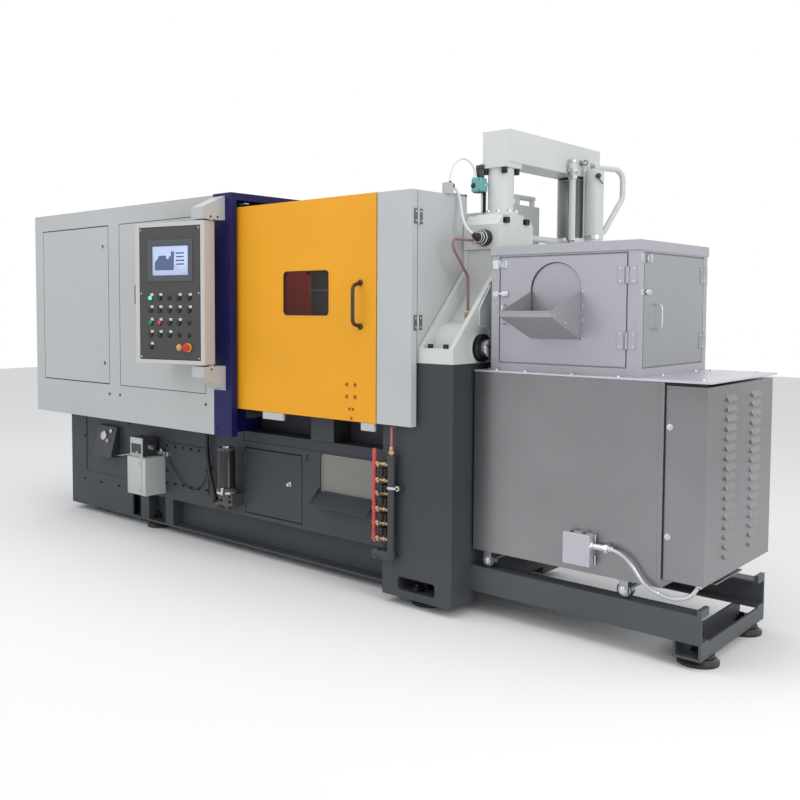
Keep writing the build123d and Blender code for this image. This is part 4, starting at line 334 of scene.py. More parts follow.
class Palette:
    """The machine's finishes."""

    cabinet = Finish("cabinet_paint", "cabinet_grey", (187, 189, 190), 0.42, drift=0.03, wear_and_highlight=0.12)
    housing = Finish("panel_housing", "panel_dark", (196, 195, 191), 0.4, drift=0.03, wear_and_highlight=0.12)
    arch = Finish("arch_paint", "arch_blue", (22, 22, 84), 0.4, sheen=0.3, drift=0.05, wear_and_highlight=0.08)
    door = Finish("door_paint", "door_yellow", (238, 166, 28), 0.42, sheen=0.35, drift=0.03, wear_and_highlight=0.08)
    guard = Finish("guard_paint", "guard_grey", (190, 192, 193), 0.42, drift=0.03, wear_and_highlight=0.12)
    bed = Finish("bed_paint", "bed_grey", (60, 65, 71), 0.5, sheen=0.35, drift=0.1, wear_and_highlight=0.25, dust=0.12)
    rail = Finish("rail_paint", "bed_grey", (80, 83, 87), 0.48, sheen=0.35, drift=0.1, wear_and_highlight=0.25)
    liner = Finish("chute_paint", "bed_grey", (136, 134, 129), 0.5, drift=0.06, wear_and_highlight=0.1)
    # Its light edge colour paints a highlight along the casting's edges.
    casting = Finish(
        "casting_paint", "casting_white", (213, 216, 213), 0.45, drift=0.04, grain_scale=160.0,
        grain_height=0.00015, wear_and_highlight=0.25, wear_and_highlight_colour=(226, 228, 226),
    )
    tank = Finish("tank_paint", "casting_white", (112, 119, 114), 0.25, drift=0.08, wear_and_highlight=0.1)
    # Its light edge colour paints a highlight along the furnace steel's edges.
    silver = Finish(
        "furnace_steel", "furnace_silver", (139, 140, 142), 0.34, metallic=0.85, drift=0.16,
        drift_scale=1.3, grain_scale=900.0, grain_height=0.0001, stretch=0.02, wear_and_highlight=0.3,
        wear_and_highlight_colour=(205, 206, 210),
    )
    # Its light edge colour paints a highlight along the hood's edges.
    hood = Finish(
        "hood_steel", "furnace_silver", (170, 170, 178), 0.42, metallic=0.35, drift=0.05, grain_scale=700.0,
        stretch=0.02, wear_and_highlight=0.3, wear_and_highlight_colour=(205, 205, 214),
    )
    # Darker, less blue copy of the hood steel for the hood's side door: painted shade on the hood's side.
    hood_side_shade = Finish(
        "hood_steel_painted_shade", "furnace_silver", (154, 156, 158), 0.42, metallic=0.35, drift=0.08,
        grain_scale=700.0, stretch=0.02, wear_and_highlight=0.3,
    )
    tray = Finish(
        "tray_steel", "furnace_silver", (156, 157, 160), 0.42, metallic=0.35, drift=0.06, wear_and_highlight=0.4,
    )
    lid = Finish(
        "lid_steel", "furnace_silver", (204, 204, 211), 0.36, metallic=0.5, drift=0.06, grain_scale=700.0,
    )
    # Its light edge colour paints a highlight along the junction box's edges.
    junction = Finish(
        "junction_steel", "furnace_silver", (192, 191, 200), 0.3, metallic=0.4, drift=0.04,
        edge_radius=0.0015, wear_and_highlight=0.4, wear_and_highlight_colour=(228, 228, 234),
    )
    steel = Finish("machined_steel", "rail_steel", (165, 168, 172), 0.3, metallic=1.0, drift=0.08)
    zinc = Finish(
        "bolt_zinc", "rail_steel", (205, 207, 210), 0.26, metallic=0.9, drift=0.05, edge_radius=0.0008,
    )
    hinge = Finish(
        "hinge_steel", "rail_steel", (104, 106, 108), 0.4, metallic=0.5, drift=0.1, edge_radius=0.001,
        wear_and_highlight=0.4,
    )
    dark_chrome = Finish(
        "dark_chrome", "handle_chrome", (84, 74, 68), 0.2, metallic=0.9, drift=0.1, edge_radius=0.001,
    )
    rubber = Finish("foot_rubber", "foot_black", (22, 23, 24), 0.45, drift=0.15, wear_and_highlight=0.1, dust=0.08)
    bolt = Finish(
        "bolt_black", "fitting_black", (20, 20, 22), 0.35, metallic=0.3, drift=0.1, wear_and_highlight=0.2,
        edge_radius=0.0008,
    )
    plastic = Finish(
        "moulded_black", "fitting_black", (26, 26, 28), 0.42, drift=0.1, wear_and_highlight=0.1, edge_radius=0.001,
    )
    filter = Finish("filter_paint", "fitting_black", (40, 40, 42), 0.22, metallic=0.2, drift=0.15)
    head = Finish("filter_head", "fitting_black", (84, 84, 82), 0.4, metallic=0.3, drift=0.12)
    box = Finish("box_paint", "fitting_grey", (192, 196, 195), 0.4, drift=0.04, wear_and_highlight=0.2)
    unit = Finish("unit_paint", "fitting_grey", (58, 60, 63), 0.42, drift=0.12)
    turquoise = Finish(
        "switch_turquoise", "fitting_grey", (104, 172, 172), 0.4, drift=0.08, edge_radius=0.001,
    )
    faceplate = Finish("panel_faceplate", "panel_dark", (62, 62, 59), 0.5, drift=0.05, wear_and_highlight=0.1)
    slate = Finish("bezel_slate", "panel_dark", (72, 76, 82), 0.42, drift=0.04, wear_and_highlight=0.1)
    screen = Finish("screen_lit", "panel_dark", (184, 200, 234), 0.12, drift=0.05, wear_and_highlight=0.0, emission=0.12)
    mark = Finish("screen_mark", "panel_dark", (84, 100, 140), 0.3, drift=0.02, wear_and_highlight=0.0)
    lamp = Finish(
        "lens_green_lit", "fitting_black", (90, 232, 172), 0.2, drift=0.04, wear_and_highlight=0.0, emission=0.5,
    )
    green = Finish("lens_green", "fitting_black", (28, 134, 84), 0.2, drift=0.04, wear_and_highlight=0.0)
    pink = Finish("lens_red", "fitting_black", (206, 62, 92), 0.2, drift=0.04, wear_and_highlight=0.0)
    red = Finish("stop_red", "fitting_black", (196, 34, 40), 0.3, drift=0.04, wear_and_highlight=0.0)
    amber = Finish("collar_amber", "fitting_black", (240, 172, 44), 0.35, drift=0.03, wear_and_highlight=0.0)
    brass = Finish(
        "valve_brass", "pipe_brass", (192, 162, 128), 0.28, metallic=0.85, drift=0.08, edge_radius=0.001,
    )
    supply = Finish(
        "supply_pipe", "pipe_brass", (62, 66, 70), 0.42, metallic=0.2, drift=0.1, wear_and_highlight=0.4,
        wear_and_highlight_colour=(130, 132, 136),
    )
    header = Finish("header_red", "pipe_brass", (202, 78, 72), 0.42, drift=0.06, wear_and_highlight=0.1)
    tube = Finish("tube_rose", "pipe_brass", (178, 104, 108), 0.35, drift=0.04, wear_and_highlight=0.0)
    copper = Finish(
        "copper_rose", "copper_tube", (154, 106, 108), 0.34, metallic=0.1, drift=0.12, drift_scale=9.0,
    )
    white_line = Finish("grease_white", "copper_tube", (214, 217, 217), 0.36, drift=0.03, wear_and_highlight=0.0)
    cord_black = Finish("cord_black", "hose_black", (24, 25, 27), 0.42, drift=0.08, wear_and_highlight=0.0)
    cord_steel = Finish(
        "conduit_steel", "hose_black", (196, 197, 200), 0.24, metallic=0.6, drift=0.06, wear_and_highlight=0.0,
    )
    cord_white = Finish("cord_white", "hose_white", (226, 228, 230), 0.34, drift=0.03, wear_and_highlight=0.0)
    smoke = Finish(
        "window_smoke", "window_clear", (34, 22, 20), 0.06, coat=0.6, drift=0.1, wear_and_highlight=0.0, alpha=0.16,
        grain_height=0.0,
    )
    red_iron = Finish("clamp_red", "casting_white", (204, 60, 46), 0.45, drift=0.12, wear_and_highlight=0.1)
    die = Finish("die_steel", "rail_steel", (64, 66, 69), 0.45, metallic=0.3, drift=0.14)
    seam = Finish("seam_shadow", "cabinet_grey", (52, 54, 57), 0.7, drift=0.05, wear_and_highlight=0.0)


PALETTE = Palette()


class Form(Enum):
    """The outline of one row of a turned surface."""

    ROUND = "round"
    HEX = "hex"
    RIBBED = "ribbed"


class Head(Enum):
    """The head of a bolt."""

    SOCKET = "socket"
    HEX = "hex"
    PAN = "pan"
    NUT = "nut"


ROUND, HEX, RIBBED = Form.ROUND, Form.HEX, Form.RIBBED
PAN, NUT = Head.PAN, Head.NUT
LEAF = ((0, -0.5), (0, 2), (0.6, 2.6))  # rows of a hinge leaf
HASP = ((0, -0.5), (0, 2.5), (0.5, 3))  # rows of a hasp plate


@dataclass(frozen=True)
class Place:
    """A point with three unit directions: u and v across, w outwards.

    Attributes:
        origin: The point, in millimetres.
        u: First direction across.
        v: Second direction across.
        w: Direction outwards.
    """

    origin: np.ndarray
    u: np.ndarray
    v: np.ndarray
    w: np.ndarray

    def at(self, u: float, v: float, w: float = 0.0) -> np.ndarray:
        """Returns the point at given distances along the place's directions."""
        return self.origin + u * self.u + v * self.v + w * self.w

    def moved(self, u: float, v: float, w: float = 0.0) -> "Place":
        """Returns a place of the same directions at another point."""
        return Place(self.at(u, v, w), self.u, self.v, self.w)

    def spun(self, angle: float) -> "Place":
        """Returns the place turned about its own outward direction, by an angle in radians."""
        c, s = math.cos(angle), math.sin(angle)
        return Place(self.origin, self.u * c + self.v * s, self.v * c - self.u * s, self.w)


def facing(origin: Sequence[float], outward: Sequence[float]) -> Place:
    """Makes a place from its outward direction, with v as near upright as it can be.

    Args:
        origin: The point, in millimetres.
        outward: The outward direction, of any length.

    Returns:
        The place.
    """
    w = np.array(outward, float) / np.linalg.norm(outward)
    u = np.cross(UP if abs(w[2]) < UPRIGHT else BACK, w)
    u = u / np.linalg.norm(u)
    return Place(np.array(origin, float), u, np.cross(w, u), w)


def hexed(radius: float, low: float, high: float) -> tuple[tuple, tuple]:
    """Returns the two rows of a hexagon between two heights."""
    return (radius, low, HEX), (radius, high, HEX)


def grid_faces(rows: int, columns: int, ring: bool = False) -> list[np.ndarray]:
    """Joins a grid whose columns close round into quads, with its two ends closed.

    Args:
        rows: Number of rows.
        columns: Number of points in each row.
        ring: Whether the last row joins the first, in place of two closed ends.

    Returns:
        Blocks of faces, each an array of point indices.
    """
    spans = rows if ring else rows - 1
    low = (np.arange(spans) * columns)[:, None]
    high = ((np.arange(spans) + 1) % rows * columns)[:, None]
    step = np.arange(columns)[None, :]
    turn = (step + 1) % columns
    quads = np.stack((low + step, low + turn, high + turn, high + step), axis=-1).reshape(-1, 4)
    if ring:
        return [quads]
    return [quads, np.arange(columns)[None, ::-1], np.arange((rows - 1) * columns, rows * columns)[None, :]]


def turned(place: Place, rows: Sequence[tuple], sides: int = 24, ring: bool = False) -> Surface:
    """Carries rows round an axis: point = origin + r f(a) (u cos a + v sin a) + h w.

    f is 1 on a round row, one over the cosine of the angle from the nearest flat on a hexagonal
    row, and one plus a twentieth of cos 12 a on a ribbed row.

    Args:
        place: The axis' foot and directions.
        rows: Radius, height and, where it isn't round, form of each row.
        sides: Points round each row.
        ring: Whether the rows close on themselves round a hole.

    Returns:
        The surface.
    """
    angle = np.linspace(0.0, 2 * np.pi, sides, endpoint=False)
    factors = {
        ROUND: np.ones(sides), HEX: 1 / np.cos(angle % (np.pi / 3) - np.pi / 6),
        RIBBED: 1 + 0.05 * np.cos(12 * angle),
    }
    factor = np.stack([factors[row[2] if len(row) > 2 else ROUND] for row in rows])
    across = np.array([row[0] for row in rows])[:, None] * factor
    height = np.array([row[1] for row in rows])[:, None, None]
    points = (
        place.origin + (across * np.cos(angle))[..., None] * place.u
        + (across * np.sin(angle))[..., None] * place.v + height * place.w
    )
    return points.reshape(-1, 3), grid_faces(len(rows), sides, ring)


def plated(place: Place, half_u: float, half_v: float, corner: float, rows: Sequence[tuple[float, float]],
           ring: bool = False, steps: int = 4) -> Surface:
    """Carries a rounded rectangle outwards, drawn in by an inset and lifted by a height at each row.

    A point of a row is its corner's centre plus the corner radius less the inset along its angle.

    Args:
        place: The rectangle's centre and directions.
        half_u: Half its size along u.
        half_v: Half its size along v.
        corner: Its corner radius.
        rows: Inset and height of each row.
        ring: Whether the rows close on themselves round a hole.
        steps: Spans in each corner.

    Returns:
        The surface.
    """
    inset = np.array([row[0] for row in rows])[:, None]
    height = np.array([row[1] for row in rows])[:, None, None]
    angle = (np.arange(4)[:, None] * np.pi / 2 + np.linspace(0.0, np.pi / 2, steps + 1)).ravel()
    sign_u = np.repeat([1.0, -1.0, -1.0, 1.0], steps + 1)
    sign_v = np.repeat([1.0, 1.0, -1.0, -1.0], steps + 1)
    radius = np.maximum(corner - inset, 0.0)
    across = sign_u * (half_u - inset - radius) + radius * np.cos(angle)
    along = sign_v * (half_v - inset - radius) + radius * np.sin(angle)
    points = place.origin + across[..., None] * place.u + along[..., None] * place.v + height * place.w
    return points.reshape(-1, 3), grid_faces(len(rows), len(angle), ring)


def prism(place: Place, outline: Sequence[tuple[float, float]], low: float, high: float) -> Surface:
    """Carries a closed outline in u and v straight along w, from low to high.

    Args:
        place: The outline's origin and directions.
        outline: Its corners, anticlockwise seen from outside.
        low: Where it starts along w.
        high: Where it ends along w.

    Returns:
        The surface.
    """
    corners = np.array(outline, float)
    flat = place.origin + corners[:, :1] * place.u + corners[:, 1:] * place.v
    points = np.concatenate((flat + low * place.w, flat + high * place.w))
    return points, grid_faces(2, len(corners))


def box(x: tuple[float, float], y: tuple[float, float], z: tuple[float, float]) -> Surface:
    """Returns a block between two limits on each axis, whose edges the piece rounds."""
    outline = ((x[0], y[0]), (x[1], y[0]), (x[1], y[1]), (x[0], y[1]))
    return prism(facing((0, 0, 0), UP), outline, *z)


def piped(path: np.ndarray, radius: float, sides: int = 12) -> Surface:
    """Carries a circle along a path: point = path + radius (n cos a + b sin a).

    b is square to the path and to the axis that the path follows least, and n to both.

    Args:
        path: The points to follow, in millimetres.
        radius: The circle's radius.
        sides: Points round the circle.

    Returns:
        The surface.
    """
    tangent = np.gradient(path, axis=0)
    tangent /= np.linalg.norm(tangent, axis=1)[:, None]
    reference = np.eye(3)[np.argmin(np.abs(tangent).max(axis=0))]
    second = np.cross(tangent, reference)
    second /= np.linalg.norm(second, axis=1)[:, None]
    first = np.cross(second, tangent)
    angle = np.linspace(0.0, 2 * np.pi, sides, endpoint=False)[None, :, None]
    points = path[:, None] + radius * (first[:, None] * np.cos(angle) + second[:, None] * np.sin(angle))
    return points.reshape(-1, 3), grid_faces(len(path), sides)


def staple(place: Place, half_span: float, reach: float, radius: float) -> Surface:
    """A bow handle along half a superellipse of power 5: u to the 5th plus w to the 5th is constant."""
    angle = np.linspace(0.0, np.pi, 33)[:, None]
    across = np.sign(np.cos(angle)) * np.abs(np.cos(angle)) ** 0.4 * half_span
    out = np.sin(angle) ** 0.4 * reach
    return piped(place.origin + across * place.v + out * place.w, radius)


def bolt(origin: Sequence[float], outward: Sequence[float], radius: float, height: float,
         head: Head = Head.SOCKET) -> Surface:
    """Turns one bolt head.

    Args:
        origin: The middle of its seat, in millimetres.
        outward: The direction that it stands in.
        radius: Its radius, across flats for a hexagon.
        height: Its height.
        head: Its kind.

    Returns:
        The surface.
    """
    r, h = radius, height
    rows = {
        Head.SOCKET: ((r, 0), (r, 0.85 * h), (0.9 * r, h), (0.5 * r, h, HEX), (0.5 * r, 0.45 * h, HEX)),
        Head.HEX: ((r, 0, HEX), (r, 0.8 * h, HEX), (0.85 * r, h)),
        PAN: ((r, 0), (0.95 * r, 0.55 * h), (0.6 * r, h), (0.32 * r, h), (0.3 * r, 0.5 * h)),
        NUT: (
            (1.3 * r, 0), (1.3 * r, 0.15 * h), (r, 0.15 * h, HEX), (r, 0.7 * h, HEX), (0.55 * r, 0.75 * h),
            (0.55 * r, 1.2 * h), (0.4 * r, 1.25 * h),
        ),
    }
    return turned(facing(origin, outward), rows[head], 12)


@dataclass
class Piece:
    """One finished object gathered from closed surfaces.

    Attributes:
        name: The object's name.
        finish: Its finish.
        body: The body that it rides on.
        edge: Width of its rounded edges, in millimetres.
        surfaces: The surfaces gathered so far.
    """

    name: str
    finish: Finish
    body: str = "machine"
    edge: float = 0.0
    surfaces: list[Surface] = field(default_factory=list)

    def add(self, *surfaces: Surface) -> "Piece":
        """Gathers more surfaces and returns the piece."""
        self.surfaces.extend(surfaces)
        return self

    def build(self, *surfaces: Surface, replaced: str = "") -> bpy.types.Object:
        """Joins the surfaces into one mesh in metres, closes its seams and dresses it.

        Args:
            surfaces: Those that are still to be gathered.
            replaced: The CAD node that it stands for, where there is one.

        Returns:
            The finished object.
        """
        self.add(*surfaces)
        counts = np.cumsum([0] + [len(points) for points, _ in self.surfaces])
        points = np.concatenate([points for points, _ in self.surfaces]) * MM
        faces = []
        for start, (_, blocks) in zip(counts, self.surfaces):
            for block in blocks:
                faces.extend((block + start).tolist())
        mesh = bpy.data.meshes.new(self.name)
        mesh.from_pydata(points.tolist(), [], faces)
        closing = bmesh.new()
        closing.from_mesh(mesh)
        bmesh.ops.remove_doubles(closing, verts=closing.verts, dist=WELD_DISTANCE)
        bmesh.ops.recalc_face_normals(closing, faces=closing.faces)
        closing.to_mesh(mesh)
        closing.free()
        mesh.polygons.foreach_set("use_smooth", np.ones(len(mesh.polygons), dtype=bool))
        mesh.set_sharp_from_angle(angle=CREASE_ANGLE)
        mesh.materials.append(self.finish.material())
        thing = bpy.data.objects.new(self.name, mesh)
        bpy.context.scene.collection.objects.link(thing)
        if self.edge:
            rounding = thing.modifiers.new("rounded_edges", "BEVEL")
            rounding.width = self.edge * MM
            rounding.segments = 2
            rounding.limit_method = "ANGLE"
            rounding.angle_limit = BEVEL_ANGLE
        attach(thing, self.body)
        if replaced:
            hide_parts(replaced)
        LOG.info("%s: %d faces", self.name, len(mesh.polygons))
        return thing


def run_line(name: str, route: Sequence[Point], diameter: float, finish: Finish, body: str,
             *replaced: str) -> bpy.types.Object:
    """Draws a round line on an open spline of order 3 whose control points are the route's.

    Args:
        name: The object's name.
        route: The control points, in metres.
        diameter: The line's diameter, in metres.
        finish: Its finish.
        body: The body that it rides on.
        replaced: The CAD nodes that it stands for.

    Returns:
        The finished curve.
    """
    curve = bpy.data.curves.new(name, "CURVE")
    curve.dimensions = "3D"
    curve.bevel_depth = diameter / 2
    curve.bevel_resolution = 4
    curve.resolution_u = 10
    curve.use_fill_caps = True
    spline = curve.splines.new("NURBS")
    spline.points.add(len(route) - 1)
    spline.points.foreach_set("co", np.hstack((np.array(route), np.ones((len(route), 1)))).ravel())
    spline.order_u = 3
    spline.use_endpoint_u = True
    curve.materials.append(finish.material())
    thing = bpy.data.objects.new(name, curve)
    bpy.context.scene.collection.objects.link(thing)
    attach(thing, body)
    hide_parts(*replaced)
    LOG.info("%s: %d control points", name, len(route))
    return thing


@dataclass
class Studio:
    """Camera, lamps, world and floor.

    Attributes:
        eye: The camera's place, in metres.
        turn: Yaw from +Y towards -X, in degrees.
        tilt: Downward tilt, in degrees.
        roll: Turn about the line of sight, in degrees.
        focal: Focal length in pixels of the picture.
        centre: Where the line of sight meets the picture, in pixels.
        side: The picture's width and height, in pixels.
        soft_light: Strength of the surround as a lamp.
    """

    eye: Point = (3.0786, -3.3703, 1.2165)
    turn: float = 43.118
    tilt: float = 3.200
    roll: float = 0.066
    focal: float = 929.81
    centre: tuple[float, float] = (326.02, 358.97)
    side: float = 800.0
    soft_light: float = 0.68

    def build(self) -> None:
        """Makes the camera, the lamps, the world and the floor."""
        self._camera()
        self._world()
        self._lamps()
        self._floor()

    def _camera(self) -> None:
        """Sets the camera at the photograph's viewpoint."""
        lens = bpy.data.cameras.new("camera")
        lens.sensor_width = 36.0
        lens.lens = lens.sensor_width * self.focal / self.side
        lens.shift_x = (self.side / 2 - self.centre[0]) / self.side
        lens.shift_y = (self.centre[1] - self.side / 2) / self.side
        lens.clip_end = 100.0
        camera = bpy.data.objects.new("camera", lens)
        heading = (
            Matrix.Rotation(math.radians(self.turn), 4, "Z")
            @ Matrix.Rotation(math.radians(90.0 - self.tilt), 4, "X")
            @ Matrix.Rotation(math.radians(self.roll), 4, "Z")
        )
        camera.matrix_world = Matrix.Translation(self.eye) @ heading
        bpy.context.scene.collection.objects.link(camera)
        bpy.context.scene.camera = camera

    def _world(self) -> None:
        """A white surround for the camera and mirrors, and a softer one for light."""
        world = bpy.data.worlds.new("studio")
        bpy.context.scene.world = world
        world.use_nodes = True
        tree = world.node_tree
        tree.nodes.clear()
        rays = add_node(tree, "LightPath").outputs
        seen = add_node(
            tree, "Math", {0: rays["Is Camera Ray"], 1: rays["Is Glossy Ray"]}, operation="MAXIMUM",
        )
        seen_all = add_node(
            tree, "Math", {0: seen.outputs["Value"], 1: rays["Is Transmission Ray"]}, operation="MAXIMUM",
        )
        soft = add_node(tree, "Background", {"Color": (0.96, 0.98, 1.0, 1.0), "Strength": self.soft_light})
        white = add_node(tree, "Background", {"Color": (1.0, 1.0, 1.0, 1.0), "Strength": 1.0})
        mixed = add_node(tree, "MixShader", {
            "Fac": seen_all.outputs["Value"], 1: soft.outputs["Background"], 2: white.outputs["Background"],
        })
        add_node(tree, "OutputWorld", {"Surface": mixed.outputs["Shader"]})

    @staticmethod
    def _lamp(name: str, place: Point, aim: Point, size: float, power: float) -> None:
        """Hangs a soft square lamp.

        Args:
            name: The lamp's name.
            place: Where it hangs, in metres.
            aim: The point it faces, in metres.
            size: Side of the square, in metres.
            power: Power in watts.
        """
        light = bpy.data.lights.new(name, "AREA")
        light.size = size
        light.energy = power
        lamp = bpy.data.objects.new(name, light)
        lamp.location = place
        lamp.rotation_euler = (Vector(aim) - Vector(place)).to_track_quat("-Z", "Y").to_euler()
        bpy.context.scene.collection.objects.link(lamp)

    def _lamps(self) -> None:
        """A large overhead lamp, a key from the front left and a low fill from the right."""
        self._lamp("overhead", (0.0, -0.6, 4.6), (0.0, 0.0, 0.8), 4.0, 62.0)
        self._lamp("key", (-1.0, -4.8, 3.2), (0.0, 0.0, 0.9), 2.4, 34.0)
        self._lamp("fill", (4.6, -1.0, 2.2), (1.0, 0.0, 0.7), 2.0, 44.0)

    @staticmethod
    def _floor() -> None:
        """A pale floor that shows white away from the machine's shadow."""
        half = 14.0
        mesh = bpy.data.meshes.new("floor")
        corners = [(-half, -half, 0.0), (half, -half, 0.0), (half, half, 0.0), (-half, half, 0.0)]
        mesh.from_pydata(corners, [], [(0, 1, 2, 3)])
        floor = bpy.data.objects.new("floor", mesh)
        bpy.context.scene.collection.objects.link(floor)
        material = bpy.data.materials.new("studio_floor")
        material.use_nodes = True
        shader = material.node_tree.nodes["Principled BSDF"]
        shader.inputs["Base Color"].default_value = (0.98, 0.98, 0.98, 1.0)
        shader.inputs["Roughness"].default_value = 0.9
        shader.inputs["Specular IOR Level"].default_value = 0.1
        mesh.materials.append(material)


@dataclass(frozen=True)
class Cord:
    """One free cord or hose.

    Attributes:
        name: The piece's name.
        node: The CAD node that it stands for.
        finish: Its finish.
        diameter: Its diameter, in metres.
        length: Its real length, in metres; not used.
        stiffness: limp, medium or stiff; not used.
        route: Its control points, in metres.
        body: The body that it rides on.
    """

    name: str
    node: str
    finish: Finish
    diameter: float
    length: float
    stiffness: str
    route: tuple[Point, ...]
    body: str = "machine"


@dataclass
class Cords:
    """The machine's free cords and hoses, each held at both ends."""

    cords: tuple[Cord, ...] = (
        Cord("switch_lead", "switch_conduit", PALETTE.cord_white, 0.007, 0.259, "medium", (
            (0.85, -0.08, 1.764), (0.85, -0.083, 1.79), (0.848, -0.103, 1.813), (0.845, -0.135, 1.828),
            (0.842, -0.171, 1.827), (0.839, -0.204, 1.809), (0.835, -0.226, 1.779), (0.833, -0.233, 1.748),
            (0.833, -0.234, 1.72),
        )),
        Cord("air_line", "air_hose", PALETTE.cord_white, 0.012, 0.260, "limp", (
            (0.834, -0.226, 1.716), (0.838, -0.207, 1.706), (0.845, -0.193, 1.686), (0.853, -0.188, 1.65),
            (0.865, -0.197, 1.605), (0.884, -0.208, 1.563), (0.912, -0.214, 1.524), (0.932, -0.19, 1.504),
        )),
        Cord("furnace_lead", "furnace_conduit", PALETTE.cord_steel, 0.014, 0.369, "medium", (
            (1.608, -0.33, 0.366), (1.64, -0.33, 0.358), (1.67, -0.33, 0.337), (1.693, -0.33, 0.311),
            (1.712, -0.33, 0.284), (1.734, -0.33, 0.264), (1.761, -0.33, 0.251), (1.79, -0.33, 0.243),
            (1.823, -0.318, 0.234), (1.857, -0.305, 0.238), (1.885, -0.294, 0.257), (1.9, -0.288, 0.29),
        ), "furnace_trolley"),
        Cord("bed_hose", "bed_conduit", PALETTE.cord_black, 0.022, 0.373, "stiff", (
            (-0.579, -0.35, 0.609), (-0.581, -0.35, 0.535), (-0.578, -0.35, 0.461), (-0.564, -0.35, 0.388),
            (-0.538, -0.35, 0.317), (-0.514, -0.35, 0.246),
        )),
        Cord("bed_lead", "bed_cable", PALETTE.cord_black, 0.005, 0.458, "medium", (
            (-0.915, -0.345, 0.421), (-0.893, -0.345, 0.389), (-0.863, -0.345, 0.356),
            (-0.829, -0.345, 0.326), (-0.795, -0.345, 0.299), (-0.759, -0.345, 0.278),
            (-0.72, -0.345, 0.266), (-0.681, -0.345, 0.268), (-0.645, -0.345, 0.285),
            (-0.614, -0.345, 0.314), (-0.592, -0.345, 0.35), (-0.58, -0.345, 0.39),
        )),
    )

    def build(self) -> None:
        """Draws each cord, then the glands and grommets at their ends."""
        for cord in self.cords:
            drawn = run_line(cord.name, cord.route, cord.diameter, cord.finish, cord.body, cord.node)
        self._glands()

    @staticmethod
    def _glands() -> None:
        """Turns the strain relief where each cord enters its housing."""
        Piece("glands_black", PALETTE.plastic).build(
            turned(facing((833, -234, 1721), UP), ((8, 0), (8, 3), (4.6, 7), (4.2, 9))),
            turned(facing((836, -223, 1712), (0.15, 0.9, -0.45)), ((11, -3), (11, 3), (7.5, 7), (6.8, 9))),
            turned(facing((932, -190, 1504), (-0.53, -0.64, 0.53)), (
                (13, -8), (13, 8), (10, 10), (9, 16), (7, 18),
            )),
            turned(facing((-579, -350, 609), DOWN), (*hexed(18, 0, 12), (14.5, 14), (13.5, 34), (12, 38))),
            turned(facing((-513, -350, 228), (-0.2, 0, 0.98)), (*hexed(17, 0, 14), (13.5, 16), (12.4, 30))),
            turned(facing((-915, -345, 424), (0.2, 0, -0.98)), ((6.5, 0), (6.5, 5), (3.4, 12))),
        )
        Piece("switch_gland", PALETTE.cord_white).build(turned(facing((850, -80, 1755), UP), (
            *hexed(9.5, 0, 7), (7.5, 8), (7, 16), (4.8, 30), (4, 32),
        )))
        Piece("furnace_gland", PALETTE.zinc, "furnace_trolley").build(
            turned(facing((1531, -330, 366), RIGHT), (
                *hexed(16, 0, 9), (11.8, 10), (11.8, 50), *hexed(14.5, 51, 66), (11.6, 68), (8.6, 84),
            )),
            turned(facing((1900, -288, 288), DOWN), ((13, 0), (13, 4), (9, 8), (7.6, 10))),
            turned(
                facing((1779, -330, 246.5), (0.96, 0, -0.26)), ((8.5, -5), (8.5, 5), (7.4, 6), (7.4, -6)),
                ring=True,
            ),
        )


@dataclass
class CadFinishes:
    """Gives every solid of the frame its finish."""

    by_slot: dict[str, Finish] = field(default_factory=lambda: {
        "bed_grey": PALETTE.bed, "foot_black": PALETTE.rubber, "cabinet_grey": PALETTE.cabinet,
        "arch_blue": PALETTE.arch, "door_yellow": PALETTE.door, "guard_grey": PALETTE.guard,
        "window_clear": PALETTE.smoke, "handle_chrome": PALETTE.dark_chrome, "rail_steel": PALETTE.steel,
        "casting_white": PALETTE.casting, "furnace_silver": PALETTE.silver, "panel_dark": PALETTE.housing,
        "fitting_black": PALETTE.filter, "fitting_grey": PALETTE.box, "copper_tube": PALETTE.copper,
        "pipe_brass": PALETTE.supply, "hose_black": PALETTE.cord_black, "hose_white": PALETTE.cord_white,
    })
    by_node: dict[str, Finish] = field(default_factory=lambda: {
        "furnace_rails": PALETTE.rail, "rail_end_channel": PALETTE.rail, "hood_shell": PALETTE.hood,
        "hood_lid": PALETTE.hood, "hood_front_door": PALETTE.hood, "hood_side_door": PALETTE.hood_side_shade,
        "ingot_chute": PALETTE.tray, "moving_platen": PALETTE.die, "rear_platen": PALETTE.die,
        "furnace_lid": PALETTE.lid, "oil_filter": PALETTE.head, "furnace_junction_box": PALETTE.junction,
    })

    def build(self) -> None:
        """Assigns each node the finish of its record slot, or its own."""
        for part in frame["record"]["subparts"]:
            node = part["node"]
            mesh = frame["nodes"][node].data
            mesh.materials.clear()
            mesh.materials.append(self.by_node.get(node, self.by_slot[part["material_slot"]]).material())


class Control(Enum):
    """What sits in one hole of the control panel."""

    PUSH = "push"
    GREEN = "green"
    LIT = "lit"
    RED = "red"
    PLUG = "plug"


